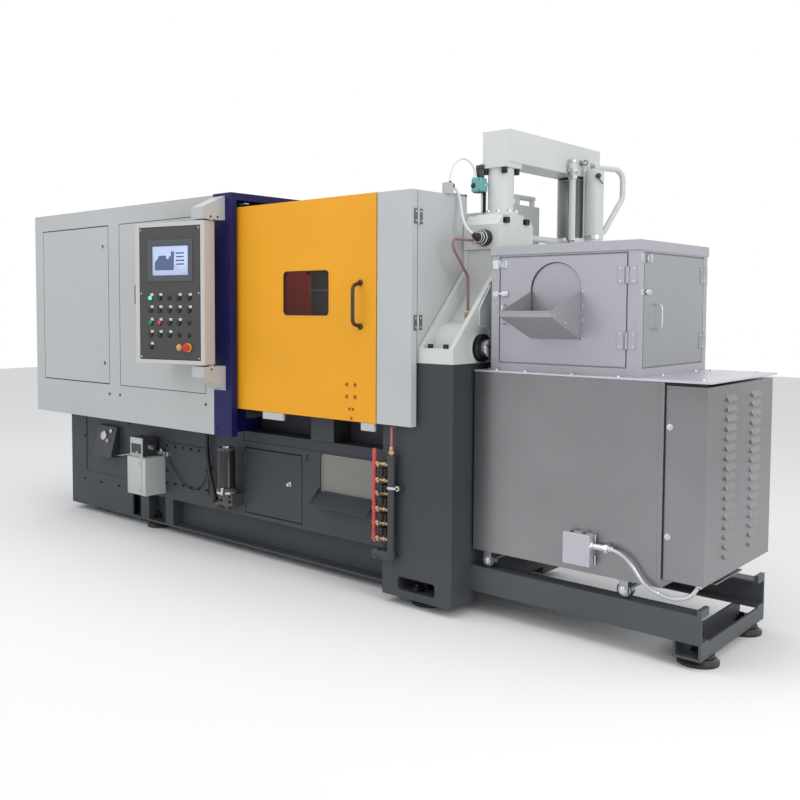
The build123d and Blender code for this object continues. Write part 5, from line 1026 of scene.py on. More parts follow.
@dataclass
class ControlPanel:
    """Faceplate, screen, push buttons, lamps, key switch and stop button.

    Attributes:
        pivot: The panel's upright axis in plan.
        turn: The panel's turn, in degrees.
        reach: From the axis to the face.
        recess: Depth of the face's recess.
        face: Left, right, bottom and top of the face.
        bezel: Middle and half sizes of the bezel.
        columns: Buttons' places along the face.
        rows: Height and controls of each row of buttons.
    """

    pivot: tuple[float, float] = (-259.0, -588.0)
    turn: float = 12.0
    reach: float = 70.0
    recess: float = 3.0
    face: tuple[float, float, float, float] = (-372.0, -3.0, 968.0, 1590.0)
    bezel: tuple[float, float, float, float] = (-182.0, 1431.0, 136.0, 97.0)
    columns: tuple[float, ...] = (-302.0, -247.0, -188.0, -130.0, -70.0)
    rows: tuple = (
        (1258.0, (Control.LIT, Control.PUSH, Control.PLUG, Control.PUSH, Control.PUSH)),
        (1201.0, (Control.PUSH, Control.PUSH, Control.PUSH, Control.PUSH, Control.PUSH)),
        (1142.0, (Control.GREEN, Control.RED, Control.PUSH, Control.PUSH, Control.PLUG)),
        (1085.0, (Control.PUSH, Control.PUSH, Control.PUSH, Control.PLUG, Control.PLUG)),
        (1028.0, (Control.PUSH,)),
    )

    def __post_init__(self) -> None:
        """Works out the face's place from the panel's turn."""
        turn = math.radians(self.turn)
        outward = (math.sin(turn), -math.cos(turn), 0.0)
        foot = (self.pivot[0] + self.reach * outward[0], self.pivot[1] + self.reach * outward[1], 0.0)
        self.front = facing(foot, outward).moved(0.0, 0.0, -self.recess)

    def build(self) -> None:
        """Builds the panel from its plate outwards."""
        self._plate()
        self._screen()
        self._buttons()
        self._switches()
        self._back()

    def _piece(self, name: str, finish: Finish, edge: float = 0.0) -> Piece:
        """Starts a piece that rides on the panel."""
        return Piece(name, finish, "control_panel", edge)

    def _plate(self) -> None:
        """Sets the dark faceplate in its black gasket, with its screws."""
        left, right, bottom, top = self.face
        middle = self.front.moved((left + right) / 2, (bottom + top) / 2)
        half_u, half_v = (right - left) / 2, (top - bottom) / 2
        self._piece("panel_gasket", PALETTE.plastic).build(plated(middle, half_u, half_v, 2, (
            (0, 0), (0, 0.8), (0.4, 1.0),
        )))
        self._piece("panel_faceplate", PALETTE.faceplate).build(
            plated(middle, half_u - 3.5, half_v - 3.5, 4, ((0, 0.5), (0, 2.2), (0.8, 2.8)))
        )
        self._piece("panel_screws", PALETTE.zinc).build(*(
            bolt(self.front.at(x, z, 2.6), self.front.w, 4.2, 2.6, PAN)
            for x in (left + 10, right - 10) for z in (bottom + 12, (bottom + top) / 2, top - 12)
        ))

    def _screen(self) -> None:
        """Frames the lit screen and draws a plain machine outline with four bars on it."""
        x, z, half_u, half_v = self.bezel
        middle = self.front.moved(x, z)
        self._piece("panel_bezel", PALETTE.slate).build(
            plated(middle, half_u, half_v, 7, (
                (0, 1), (0, 5.5), (1.5, 7), (24, 7), (26, 6), (29, 4.2), (29, 3),
            )),
            replaced="panel_controls",
        )
        self._piece("panel_screen", PALETTE.screen).build(plated(middle, half_u - 29.4, half_v - 29.4, 2, (
            (0, 2.5), (0, 3.8), (0.3, 4.0),
        )))
        marks = self._piece("panel_screen_marks", PALETTE.mark)
        drawing = (
            (-92, -44), (22, -44), (24, -20), (26, 40), (8, 44), (6, 20), (-4, 20), (-8, 8), (-22, 8),
            (-24, 24), (-66, 24), (-76, 8), (-92, -6),
        )
        marks.add(prism(middle, drawing, 3.9, 4.25))
        for row in range(4):
            marks.add(plated(middle.moved(60, 34 - 17 * row), 26 - 3 * (row % 2), 3.2, 1.5, (
                (0, 3.9), (0, 4.2), (0.3, 4.3),
            )))
        marks.build()

    def _buttons(self) -> None:
        """Puts a ring and a cap at each hole of the rows, and above and right of each a bright plate that
        paints the highlight on its collar.
        """
        rings = self._piece("panel_button_rings", PALETTE.bolt)
        glints = self._piece("panel_button_glints", PALETTE.zinc)
        caps = {
            Control.PUSH: self._piece("panel_buttons", PALETTE.plastic),
            Control.GREEN: self._piece("panel_lenses_green", PALETTE.green),
            Control.LIT: self._piece("panel_lens_lit", PALETTE.lamp),
            Control.RED: self._piece("panel_lenses_red", PALETTE.pink),
        }
        for z, controls in self.rows:
            for x, control in zip(self.columns, controls):
                spot = self.front.moved(x, z)
                if control is Control.PLUG:
                    rings.add(turned(spot, ((12, 2.5), (12, 4), (10, 5.4), (5, 6.2))))
                    continue
                rings.add(turned(spot, ((14, 2.5), (14, 4.6), (12.8, 5.6), (11, 5.6), (10.6, 4.8))))
                rows = ((9.6, 4.5), (9.6, 8.4), (8.4, 9.6), (7.4, 9.6), (6.9, 9.1))
                if control is not Control.PUSH:
                    rows = ((10.2, 4.5), (10.2, 10.0), (9.0, 11.6), (5.0, 12.4))
                caps[control].add(turned(spot, rows))
                # Bright zinc plate above and right of the button: painted highlight of its collar.
                glints.add(plated(spot.moved(9, 15.5), 9, 6.5, 2, ((0, 2.6), (0, 5.3), (1, 6.2))))
        for piece in (rings, glints, *caps.values()):
            piece.build()

    def _switches(self) -> None:
        """Turns the key switch with its key and the stop button on its collar."""
        key, stop = self.front.moved(-131, 1028), self.front.moved(-78, 1028)
        self._piece("panel_collars", PALETTE.amber).build(
            turned(key, ((15, 2.5), (15, 5), (13.5, 6.2), (8.5, 6.2), (8, 5.4))),
            turned(stop, ((21, 2.5), (21, 5.5), (19.5, 7), (12, 7), (11.5, 6.4))),
        )
        self._piece("panel_key", PALETTE.zinc, 0.4).build(
            turned(key, ((7.8, 5), (7.8, 10), (6.8, 11), (5, 11))),
            prism(key, ((-1.3, -9), (1.3, -9), (1.3, 9), (-1.3, 9)), 10.5, 15.5),
        )
        self._piece("panel_stop", PALETTE.red).build(turned(stop, (
            (10, 6), (10, 13), (12, 15), (17.5, 16.5), (19, 19), (18.2, 22), (14, 25), (8, 26.4), (2, 26.8),
        )))

    def _back(self) -> None:
        """Closes the panel's back with a screwed cover."""
        left, right, bottom, top = self.face
        back = Place(
            self.front.at((left + right) / 2 + 1, (bottom + top) / 2, self.recess - 90.0), -self.front.u,
            self.front.v, -self.front.w,
        )
        self._piece("panel_back_cover", PALETTE.housing).build(plated(back, 188, 306, 8, (
            (0, -0.5), (0, 1.4), (0.8, 2.0),
        )))
        self._piece("panel_back_screws", PALETTE.bolt).build(*(
            bolt(back.at(u, v, 1.8), back.w, 4.5, 2.6, PAN) for u in (-176, 176) for v in (-294, 0, 294)
        ))


@dataclass
class CabinetTrim:
    """Seams, locks, flush pull and arm screws of the clamp cabinet and its arch.

    Attributes:
        front_y: The cabinet's front.
        back_y: The cabinet's back.
        locks: The door's two locks, along and up.
        pull: Middle of the flush pull.
        panel: Left, right, bottom and top of the fixed panel.
        door: Left and right of the door.
    """

    front_y: float = -523.0
    back_y: float = 523.0
    locks: tuple = ((-1227.0, 1539.0), (-1221.0, 913.0))
    pull: tuple[float, float] = (-938.0, 1280.0)
    panel: tuple[float, float, float, float] = (-1083.0, -375.0, 799.0, 1650.0)
    door: tuple[float, float] = (-1846.0, -1180.0)

    def build(self) -> None:
        """Builds the cabinet's trim."""
        self._seams()
        self._locks()
        self._arms_and_arch()

    def _seams(self) -> None:
        """Draws the dark joint round the fixed panel, and round two like panels at the back."""
        left, right, bottom, top = self.panel
        middle_z, half_v = (bottom + top) / 2, (top - bottom) / 2
        line = ((0, -0.4), (0, 0.4), (3, 0.4), (3, -0.4))
        seams = Piece("cabinet_seams", PALETTE.seam)
        screws = Piece("cabinet_back_screws", PALETTE.zinc)
        seams.add(plated(
            facing(((left + right) / 2, self.front_y, middle_z), FRONT), (right - left) / 2, half_v, 4,
            line, ring=True,
        ))
        for low, high in ((left, right), self.door):
            seams.add(plated(
                facing(((low + high) / 2, self.back_y, middle_z), BACK), (high - low) / 2, half_v, 4, line,
                ring=True,
            ))
            for x in (low + 20, (low + high) / 2, high - 20):
                for z in (bottom + 20, middle_z, top - 20):
                    if x != (low + high) / 2 or z != middle_z:
                        screws.add(bolt((x, self.back_y, z), BACK, 7, 4, PAN))
        seams.build()
        screws.build()

    def _locks(self) -> None:
        """Turns the quarter-turn locks on the door and sinks the pull in the fixed panel."""
        rims = Piece("cabinet_door_locks", PALETTE.zinc, "cabinet_door")
        cores = Piece("cabinet_door_lock_cores", PALETTE.bolt, "cabinet_door")
        for x, z in self.locks:
            spot = facing((x, self.front_y, z), FRONT)
            rims.add(turned(spot, ((15, -1), (15, 1.6), (13.4, 3.2), (11, 3.2), (10.6, 1.6))))
            cores.add(turned(spot, ((9.8, 0.5), (9.8, 2.4), (9, 3), *hexed(5.4, 3, 1.2))))
        rims.build()
        cores.build()
        pull = facing((self.pull[0], self.front_y, self.pull[1]), FRONT)
        Piece("cabinet_pull_rim", PALETTE.zinc).build(plated(
            pull, 12, 56, 11.9, ((0, -1), (0, 1.4), (1, 2.2), (3, 2.2), (4, 1.2), (4, -1)), ring=True,
        ))
        Piece("cabinet_pull_well", PALETTE.bolt).build(plated(pull, 8.2, 52, 8, (
            (0, -0.5), (0, 0.6), (0.5, 0.8),
        )))

    def _arms_and_arch(self) -> None:
        """Puts the dark screws on the two arms and the arch, and the caps over the pivots."""
        screws = Piece("arm_screws", PALETTE.bolt)
        for y, z in ((-609, 1629), (-568, 1629), (-609, 929)):
            screws.add(bolt((-230, y, z), RIGHT, 5, 3, PAN))
        for x in (-1182, -1086, -376):
            screws.add(bolt((x, self.front_y, 749), FRONT, 6.5, 3))
            screws.add(bolt((x, self.back_y, 749), BACK, 6.5, 3))
        for x, z in ((-204, 640), (-204, 1180), (-204, 1700), (-301, 640), (-301, 1700)):
            screws.add(bolt((x, self.front_y, z), FRONT, 5, 3, PAN))
            screws.add(bolt((x, self.back_y, z), BACK, 5, 3, PAN))
        screws.build()
        Piece("pivot_washers", PALETTE.zinc).build(*(
            turned(facing((-259, -588, z), outward), ((19, 0), (19, 3), (17, 4.5), (12.5, 4.5)))
            for z, outward in ((941, UP), (1617, DOWN))
        ))


@dataclass
class DieBay:
    """Yellow sliding door, guard beside it, and what shows through the window.

    Attributes:
        front_y: The door's front.
        window: Middle and half sizes of the window.
        peeps: Each peep hole, along, up and radius.
        handle_x: The handle's place along the door.
        handle_z: The handle's two feet.
        hinge_z: Heights of the guard's hinges.
    """

    front_y: float = -478.0
    window: tuple[float, float, float, float] = (248.0, 1276.0, 138.0, 97.0)
    peeps: tuple = (
        (490.0, 893.0, 8.0), (536.0, 893.0, 8.0), (490.0, 842.0, 8.0), (536.0, 842.0, 8.0),
        (505.0, 791.0, 6.0), (524.0, 791.0, 6.0), (516.0, 752.0, 6.0),
    )
    handle_x: float = 563.0
    handle_z: tuple[float, float] = (1136.0, 1316.0)
    hinge_z: tuple[float, float] = (1155.0, 1573.0)

    def build(self) -> None:
        """Builds the door's trim, the guard's hinges and the clamp seen inside."""
        self._window()
        self._door()
        self._guard()
        self._inside()

    def _window(self) -> None:
        """Folds the bright rim round the window and sets its rubber."""
        x, z, half_u, half_v = self.window
        middle = facing((x, self.front_y, z), FRONT)
        Piece("door_window_rim", PALETTE.door, "sliding_door").build(
            plated(middle, half_u + 9, half_v + 9, 27, (
                (0, -1), (0, 1.2), (1.5, 2.4), (7.5, 2.4), (9, 1.2), (9, -2.6),
            ), ring=True, steps=6)
        )
        Piece("door_window_rubber", PALETTE.rubber, "sliding_door").build(plated(
            middle, half_u + 0.5, half_v + 0.5, 19,
            ((0, -2.9), (0, -1.2), (1.5, -0.6), (5, -0.6), (5.5, -2.9)), ring=True, steps=6,
        ))

    def _door(self) -> None:
        """Adds handle feet, peep hole rims, guide pads and the hanger's tab."""
        Piece("door_handle_feet", PALETTE.dark_chrome, "sliding_door").build(*(
            turned(facing((self.handle_x, self.front_y, z), FRONT), (
                (14, -0.5), (14, 2.5), (12, 4.5), (9, 5.5), (8.2, 9),
            ))
            for z in self.handle_z
        ))
        Piece("door_peep_rims", PALETTE.door, "sliding_door").build(*(
            turned(facing((x, self.front_y, z), FRONT), (
                (r + 2.6, -0.5), (r + 2.6, 0.7), (r + 0.8, 1.2), (r, 0.4), (r, -0.5),
            ), 20, ring=True)
            for x, z, r in self.peeps
        ))
        Piece("door_peep_backing", PALETTE.red_iron, "sliding_door", 0.5).build(box(
            (474, 552), (self.front_y + 3.1, self.front_y + 5), (744, 912),
        ))
        Piece("door_guide_pads", PALETTE.guard, "sliding_door", 1.5).build(
            box((-27.5, 106.5), (-477.0, -463.5), (706.5, 739.6)),
            box((566.5, 639.5), (-477.0, -463.5), (706.5, 739.6)),
        )
        Piece("door_hanger_tab", PALETTE.zinc, "sliding_door", 0.6).build(box(
            (-203, -150), (-470, -446), (1690, 1695),
        ))

    def _guard(self) -> None:
        """Screws the block hinges over the guard's corner and lays the rod along its top."""
        moving = Piece("guard_hinge_leaves", PALETTE.hinge, "guard_door", 1.0)
        fixed = Piece("guard_hinge_plates", PALETTE.hinge, "machine", 1.0)
        moving_screws = Piece("guard_hinge_screws", PALETTE.zinc, "guard_door")
        fixed_screws = Piece("guard_plate_screws", PALETTE.zinc)
        for z in self.hinge_z:
            moving.add(box((829.7, 835), (-466, -449.5), (z - 30, z + 30)))
            fixed.add(box((829.7, 835), (-436.5, -416), (z - 30, z + 30)))
            for lift in (-18, 18):
                moving_screws.add(bolt((835, -458, z + lift), RIGHT, 4.5, 2, PAN))
                fixed_screws.add(bolt((835, -426, z + lift), RIGHT, 4.5, 2, PAN))
        for piece in (moving, fixed, moving_screws, fixed_screws):
            piece.build()
        Piece("guard_top_rod", PALETTE.zinc).build(piped(
            np.linspace((825, -222, 1683), (825, -112, 1681), 8), 4.5,
        ))
        Piece("guard_rod_end", PALETTE.bolt).build(turned(facing((825, -118, 1681), BACK), (
            (6, 0), (6, 9), (5, 10),
        )))

    def _inside(self) -> None:
        """Sets the crosshead, its bolts, a rod, the aprons and the die halves with their pins inside."""
        Piece("clamp_crosshead", PALETTE.red_iron, edge=6.0).build(
            box((-60, 149.5), (-325, 325), (1112, 1398)), box((-180, -60), (-210, 210), (1150, 1360)),
        )
        Piece("crosshead_bolts", PALETTE.bolt).build(*(
            bolt((x, -325, z), FRONT, 10, 9) for x in (-30, 120) for z in (1140, 1372)
        ))
        Piece("clamp_rod", PALETTE.hinge).build(
            piped(np.linspace((150, -352, 1290), (690, -352, 1290), 8), 7),
            turned(facing((175, -352, 1290), LEFT), (*hexed(14, 0, 16), (10, 18))),
        )
        Piece("die_bay_apron", PALETTE.bed).build(*(
            box(along, across, (608.6, 758))
            for across in ((-226, -223), (223, 226)) for along in ((-305.6, 149.8), (290.2, 689.8))
        ))
        Piece("die_halves", PALETTE.die, edge=4.0).build(
            box((290.2, 430), (-180, 180), (1110, 1400)), box((560, 689.8), (-180, 180), (1110, 1400)),
        )
        Piece("die_guide_pins", PALETTE.zinc).build(*(
            turned(facing((560, y, z), LEFT), ((14, 0), (14, 60), (12, 64), (9, 66)))
            for y in (-145, 145) for z in (1145, 1365)
        ))


@dataclass
class BedTrim:
    """Bolts, gauge, lubricator, filter and door fittings on the bed.

    Attributes:
        wall_y: The bed's front.
        plate_y: The cover plate's front.
        sill_bolts: Bolts on the end plate, along and up.
        plate_bolts: Bolts on the cover plate, along and up.
    """

    wall_y: float = -328.0
    plate_y: float = -334.0
    sill_bolts: tuple = ((-1736, 451), (-1746, 193), (-1573, 192), (-1390, 194), (-1290, 560), (-1600, 575))
    plate_bolts: tuple = (
        (-932, 474), (-859, 474), (-794, 474), (-728, 474), (-664, 474), (-930, 339), (-930, 272),
        (-862, 274), (-794, 274), (-726, 274), (-666, 274), (-603, 274), (-603, 474), (-603, 380),
    )

    def build(self) -> None:
        """Builds the bed's fittings from left to right."""
        self._bolts()
        self._gauge()
        self._lubricator()
        self._filter()
        self._bay_door()
        self._chute_flap()
        self._feet()

    def _bolts(self) -> None:
        """Sets the black bolts in the wall and the cover plate, on both sides of the bed."""
        bolts = Piece("bed_bolts", PALETTE.bolt)
        for x, z in self.sill_bolts:
            bolts.add(bolt((
                x, self.wall_y + (4 if z > 300 and -1725 < x < -1325 else 0), z,
            ), FRONT, 6.5, 5))
            bolts.add(bolt((x, -self.wall_y, z), BACK, 6.5, 5))
        for z in (532, 516):
            bolts.add(bolt((110, self.wall_y, z), FRONT, 5, 3))
        for x, z in self.plate_bolts:
            bolts.add(bolt((x, self.plate_y, z), FRONT, 6.5, 6))
            bolts.add(bolt((x, 334, z), BACK, 6.5, 6))
        bolts.build()
        Piece("bed_back_plate", PALETTE.bed).build(plated(facing((-767.5, 328, 370), BACK), 177.5, 120, 3, (
            (0, -0.5), (0, 5), (1, 6),
        )))

    def _gauge(self) -> None:
        """Covers the wedge box in dark sheet and sets its gauge, its small gauge and its pipe."""
        side = facing((-1560.8, 0, 0), RIGHT)
        Piece("gauge_box", PALETTE.unit, edge=1.5).build(prism(side, (
            (-388.8, 361.2), (-325, 361.2), (-325, 533.8), (-345.8, 533.8), (-388.8, 377),
        ), 0, 181.6))
        slope = facing((-1484, -361, 478), (0, -0.964, 0.266))
        small = facing((-1424, -353, 508), (0, -0.964, 0.266))
        Piece("gauge_rims", PALETTE.zinc).build(
            turned(slope, ((27, 0), (27, 8), (25, 10), (22.5, 10), (22, 8)), 32, ring=True),
            turned(small, ((13, 0), (13, 7), (11.5, 8.5), (10, 8.5), (9.6, 7)), ring=True),
            turned(facing((-1436, -368, 452), (0, -0.964, 0.266)), (*hexed(10, 0, 8), (6, 9), (6, 14))),
        )
        Piece("gauge_faces", PALETTE.cord_white).build(
            turned(slope, ((22.4, 1), (22.4, 6.4), (22, 6.8)), 32),
            turned(small, ((9.8, 1), (9.8, 5.4), (9.5, 5.8))),
        )
        ticks = Piece("gauge_marks", PALETTE.bolt)
        for step in range(11):
            angle = math.radians(225 - 27 * step)
            spot = slope.spun(angle).moved(18, 0)
            ticks.add(prism(spot, ((-2.5, -0.5), (2.5, -0.5), (2.5, 0.5), (-2.5, 0.5)), 6.7, 7.1))
        ticks.add(prism(slope, ((-1, -6), (12, 12.6), (-2.6, -4.4)), 7.0, 7.6))
        ticks.build()
        run_line("gauge_pipe", (
            (-1.379, -0.352, 0.374), (-1.33, -0.352, 0.378), (-1.27, -0.35, 0.392), (-1.2, -0.35, 0.4),
            (-1.16, -0.35, 0.42), (-1.112, -0.35, 0.43),
        ), 0.006, PALETTE.zinc, "machine")

    def _lubricator(self) -> None:
        """Dresses the lubrication unit: dark body, bright frame, knob, outlet, box door and locks."""
        Piece("lubricator_body", PALETTE.unit, edge=2.0).build(box(
            (-1113.6, -1002.4), (-440.6, -349.4), (413.2, 515.6),
        ))
        face = facing((-1058, -440, 464), FRONT)
        Piece("lubricator_frame", PALETTE.box, edge=0.6).build(
            plated(face, 54, 51, 3, ((0, 0), (0, 4), (1, 5), (8, 5), (8, 0)), ring=True),
            plated(face.moved(0, 33), 48, 15, 2, ((0, 0), (0, 4), (1, 4.6))),
            plated(face.moved(0, -38), 48, 4, 1, ((0, 0), (0, 3), (1, 3.4))),
            turned(face.moved(8, -28), ((6, 0), (6, 8), (4, 10))),
        )
        Piece("lubricator_fittings", PALETTE.zinc).build(
            turned(facing((-1003, -395, 464), RIGHT), (
                (13, 0), (13, 4), (9, 5), (9, 11), (13, 12, RIBBED), (13, 20, RIBBED), (11, 21),
            )),
            turned(facing((-1000, -345, 431), RIGHT), (
                (9.5, 0), (9.5, 18), *hexed(11.5, 19, 30), (8.4, 31), (8.4, 52), *hexed(10.5, 53, 64),
                (8.5, 65), (8.5, 70),
            )),
            plated(facing((-915, -356, 431), FRONT), 15.5, 11.5, 3, ((0, -23), (0, 1), (1.5, 2.4))),
            turned(facing((-960, -352, 447), (0, -0.5, 1)), ((8, -6), (8, 6), (5, 8), (5, 12))),
        )
        Piece("lubricator_outlet", PALETTE.bolt).build(turned(facing((-915, -358, 431), FRONT), (
            (5.5, 0), (5.5, 1.4), (4.5, 2),
        )))
        door = facing((-1036.5, -459, 312.5), FRONT)
        Piece("control_box_door", PALETTE.box).build(
            plated(door, 80, 99, 5, ((0, -1), (0, 1.6), (1.2, 2.4))),
            turned(facing((-985, -459, 414), UP), ((0.1, -2), (9, -2), (9, 5), (7, 7), (3, 7))),
        )
        Piece("control_box_seams", PALETTE.seam).build(plated(door.moved(48, 0), 0.8, 97, 0.5, (
            (0, 2), (0, 2.7), (0.3, 2.8),
        )))
        locks = Piece("control_box_locks", PALETTE.zinc)
        slots = Piece("control_box_lock_slots", PALETTE.bolt, edge=0.3)
        for z in (384, 240):
            spot = facing((-1000, -461, z), FRONT)
            locks.add(turned(spot, ((8.5, 0), (8.5, 2), (7, 3.2))))
            slots.add(prism(spot, ((-2.2, -5.5), (2.2, -5.5), (2.2, 5.5), (-2.2, 5.5)), 3, 3.7))
        locks.build()
        slots.build()

    def _filter(self) -> None:
        """Adds the filter's bright clamp with its lug, its can and bolts, and the elbow's rings."""
        axis = facing((-371, -400, 300), UP)
        Piece("filter_clamp", PALETTE.zinc, edge=0.5).build(
            turned(axis, ((48.2, 4), (50, 5), (50, 15), (48.2, 16)), 48),
            box((-352, -338), (-456, -436), (303, 318)),
            turned(facing((-345, -449, 318), UP), (
                (8, 0), (8, 3), (6, 4), (6, 12), (8.5, 13), (8.5, 19), (6, 21),
            )),
            turned(facing((-371, -400, 529), UP), (*hexed(16, 0, 7), (12, 8))),
        )
        Piece("filter_can", PALETTE.filter).build(turned(axis, (
            (43.4, 30), (45.5, 33), (45.5, 40), (43.6, 43), (43.6, 214), (41.5, 224), (34, 229.6),
        ), 48))
        bolts = Piece("filter_bolts", PALETTE.bolt)
        for x in (-412, -348):
            bolts.add(bolt((x, -400, 262), FRONT, 7, 7), bolt((x, -400, 286), FRONT, 5, 5))
        bolts.add(bolt((-579, -352, 396), FRONT, 4, 4, PAN))
        bolts.build()
        Piece("elbow_rings", PALETTE.bolt).build(*(
            turned(facing((x, -350, 226), outward), ((14.2, 0), (16, 1), (16, 9), (14.2, 10)), ring=True)
            for x, outward in ((-470, RIGHT), (-440, LEFT))
        ))

    def _bay_door(self) -> None:
        """Puts the knob on the bay door."""
        Piece("bed_door_knob", PALETTE.zinc, "bed_door").build(turned(facing((-3, -328, 384), FRONT), (
            (12, -1), (12, 2), (10, 3.5), (6, 4.5), (6, 8), (9, 10), (9, 14), (7, 16), (3, 16.5),
        )))

    @staticmethod
    def _chute_flap() -> None:
        """Hangs a light flap behind the mouth of the chute, and rings the mouth with a raised rim whose
        lighter finish paints the highlight on the mouth's edges.
        """
        Piece("chute_flap", PALETTE.liner).build(box((188, 512), (-316.2, -313.2), (379, 557)))
        # The rim is real; its light finish is a painted highlight along the mouth's edges.
        Piece("chute_rim_highlight", PALETTE.lid).build(plated(facing((350, -316, 463), FRONT), 154, 87, 14, (
            (0, -0.5), (0, 5), (0.6, 5.6), (2.4, 5.6), (3, 5), (3, -0.5),
        ), ring=True))

    def _feet(self) -> None:
        """Screws a nut and a stud over each levelling foot, and cups its stem."""
        cup = ((70.4, 3), (70.6, 11), (60, 14), (50, 20), (50, 24), (54, 27), (54, 33), (50, 34.6))
        Piece("foot_cups", PALETTE.rubber).build(*(
            turned(facing((x, side * y, 0), UP), cup, 40)
            for x, y in ((-1098, 260), (811, 328), (1871, 209)) for side in (-1, 1)
        ))
        studs = ((-1098, 270, 47, 17, 30), (811, 330, 66, 20, 26), (811, 404, 66, 18, 24), (
            1871, 209, 43, 18, 24,
        ))
        Piece("foot_bolts", PALETTE.bolt).build(*(
            bolt((x, side * y, z), UP, radius, height, NUT)
            for side in (-1, 1) for x, y, z, radius, height in studs
        ))


@dataclass
class WaterManifold:
    """Supply pipe, red header, six brass valves with their regulators, and the clamp.

    Attributes:
        y: The pipes' distance in front of the centreline.
        supply_x: The supply pipe.
        header_x: The header.
        valve_x: The valves' stems.
        heights: The valves' heights.
    """

    y: float = -466.0
    supply_x: float = 722.0
    header_x: float = 633.0
    valve_x: float = 673.0
    heights: tuple[float, ...] = (577.0, 511.0, 458.0, 392.0, 334.0, 270.0)

    def build(self) -> None:
        """Builds the manifold in place of its node."""
        self._supply()
        self._header()
        self._valves()

    def _supply(self) -> None:
        """Turns the supply pipe with its cap, inlet, clamp and rose tube."""
        foot = facing((self.supply_x, self.y, 205), UP)
        inlet = facing((self.supply_x, self.y, 205), LEFT)
        Piece("manifold_supply", PALETTE.supply).build(
            turned(foot, (
                (12, -20), (18, -18), (20, -12), (20, 20), (16, 22), (16, 376), (20, 378), (20, 386),
                (17.5, 388), (17.5, 398), (20, 400), (20, 410), (15, 414), (12, 415),
            ), 28),
            turned(inlet, (
                (20, 0), (20, 26), (22.5, 28), (22.5, 36), (18.5, 38), (18.5, 60), (22.5, 62), (22.5, 84),
                (18, 90),
            ), 28),
            box((736, 762), (-462, -438.2), (474, 496)), replaced="water_manifold",
        )
        Piece("manifold_rings", PALETTE.zinc, edge=0.4).build(
            plated(foot.moved(4, 0, 276), 23, 18, 17, ((0, 0), (0, 9), (1, 10))),
            turned(
                facing((751, -462, 485), FRONT), ((11, 0), (11, 5), (9.5, 6), (6, 6), (6, 3)), ring=True,
            ),
        )
        Piece("manifold_clamp_bolt", PALETTE.bolt).build(turned(facing((751, -462, 485), FRONT), (
            (6, 0), (6, 3.4), (5, 4),
        )))
        Piece("manifold_nipple", PALETTE.brass).build(turned(foot, (
            (9, 412), (9, 418), *hexed(10.5, 419, 431), (8, 433), (8.6, 436, RIBBED), (8.6, 444, RIBBED),
            (7, 448), (5.4, 449),
        )))
        run_line(
            "manifold_tube",
            (
                (0.722, -0.466, 0.65), (0.722, -0.466, 0.71), (0.722, -0.466, 0.730),
                (0.722, -0.458, 0.7315), (0.722, -0.438, 0.7315),
            ),
            0.010, PALETTE.tube, "machine",
        )

    def _header(self) -> None:
        """Turns the red header with a thicker joint at each valve."""
        axis = facing((self.header_x, self.y, 0), UP)
        rows = [(6, 258), (9, 261)]
        for height in reversed(self.heights):
            rows += [(9, height - 12), (11, height - 10), (11, height + 10), (9, height + 12)]
        rows += [(9, 631), (7.5, 636), (4, 639)]
        Piece("manifold_header", PALETTE.header).build(turned(axis, rows))

    def _valves(self) -> None:
        """Sets each brass valve with its stem and drain, and the black regulator below it."""
        brass = Piece("manifold_valves", PALETTE.brass)
        blocks = Piece("manifold_regulators", PALETTE.plastic)
        for index, height in enumerate(self.heights):
            level = facing((self.header_x, self.y, height), RIGHT)
            brass.add(turned(level, (
                (6, 10), (8, 11), (8, 17), *hexed(10, 18, 26), (7.5, 27), (7.5, 50), *hexed(10, 51, 62),
                (7.5, 63), (7.5, 76),
            )))
            stem = facing((self.valve_x - 8, self.y, height - 2), (-0.35, -1, -0.2))
            brass.add(turned(stem, ((9, -6), (9, 4), (6, 5), (6, 9), (8, 10), (8, 15), (6, 17))))
            brass.add(turned(level.moved(0, 0, 6).moved(0, -13, 0), ((4, -8), (6.5, -6), (6.5, 2), (4, 4))))
            if index < len(self.heights) - 1:
                knob = facing((self.valve_x, self.y - 2, height - 32), FRONT)
                blocks.add(plated(knob, 15, 17, 9, ((0, -16), (0, 12), (2, 15), (5, 16))))
                blocks.add(plated(knob.moved(20, -2, -6), 8, 16, 4, ((0, -10), (0, 10), (2, 12))))
        brass.build()
        blocks.build()


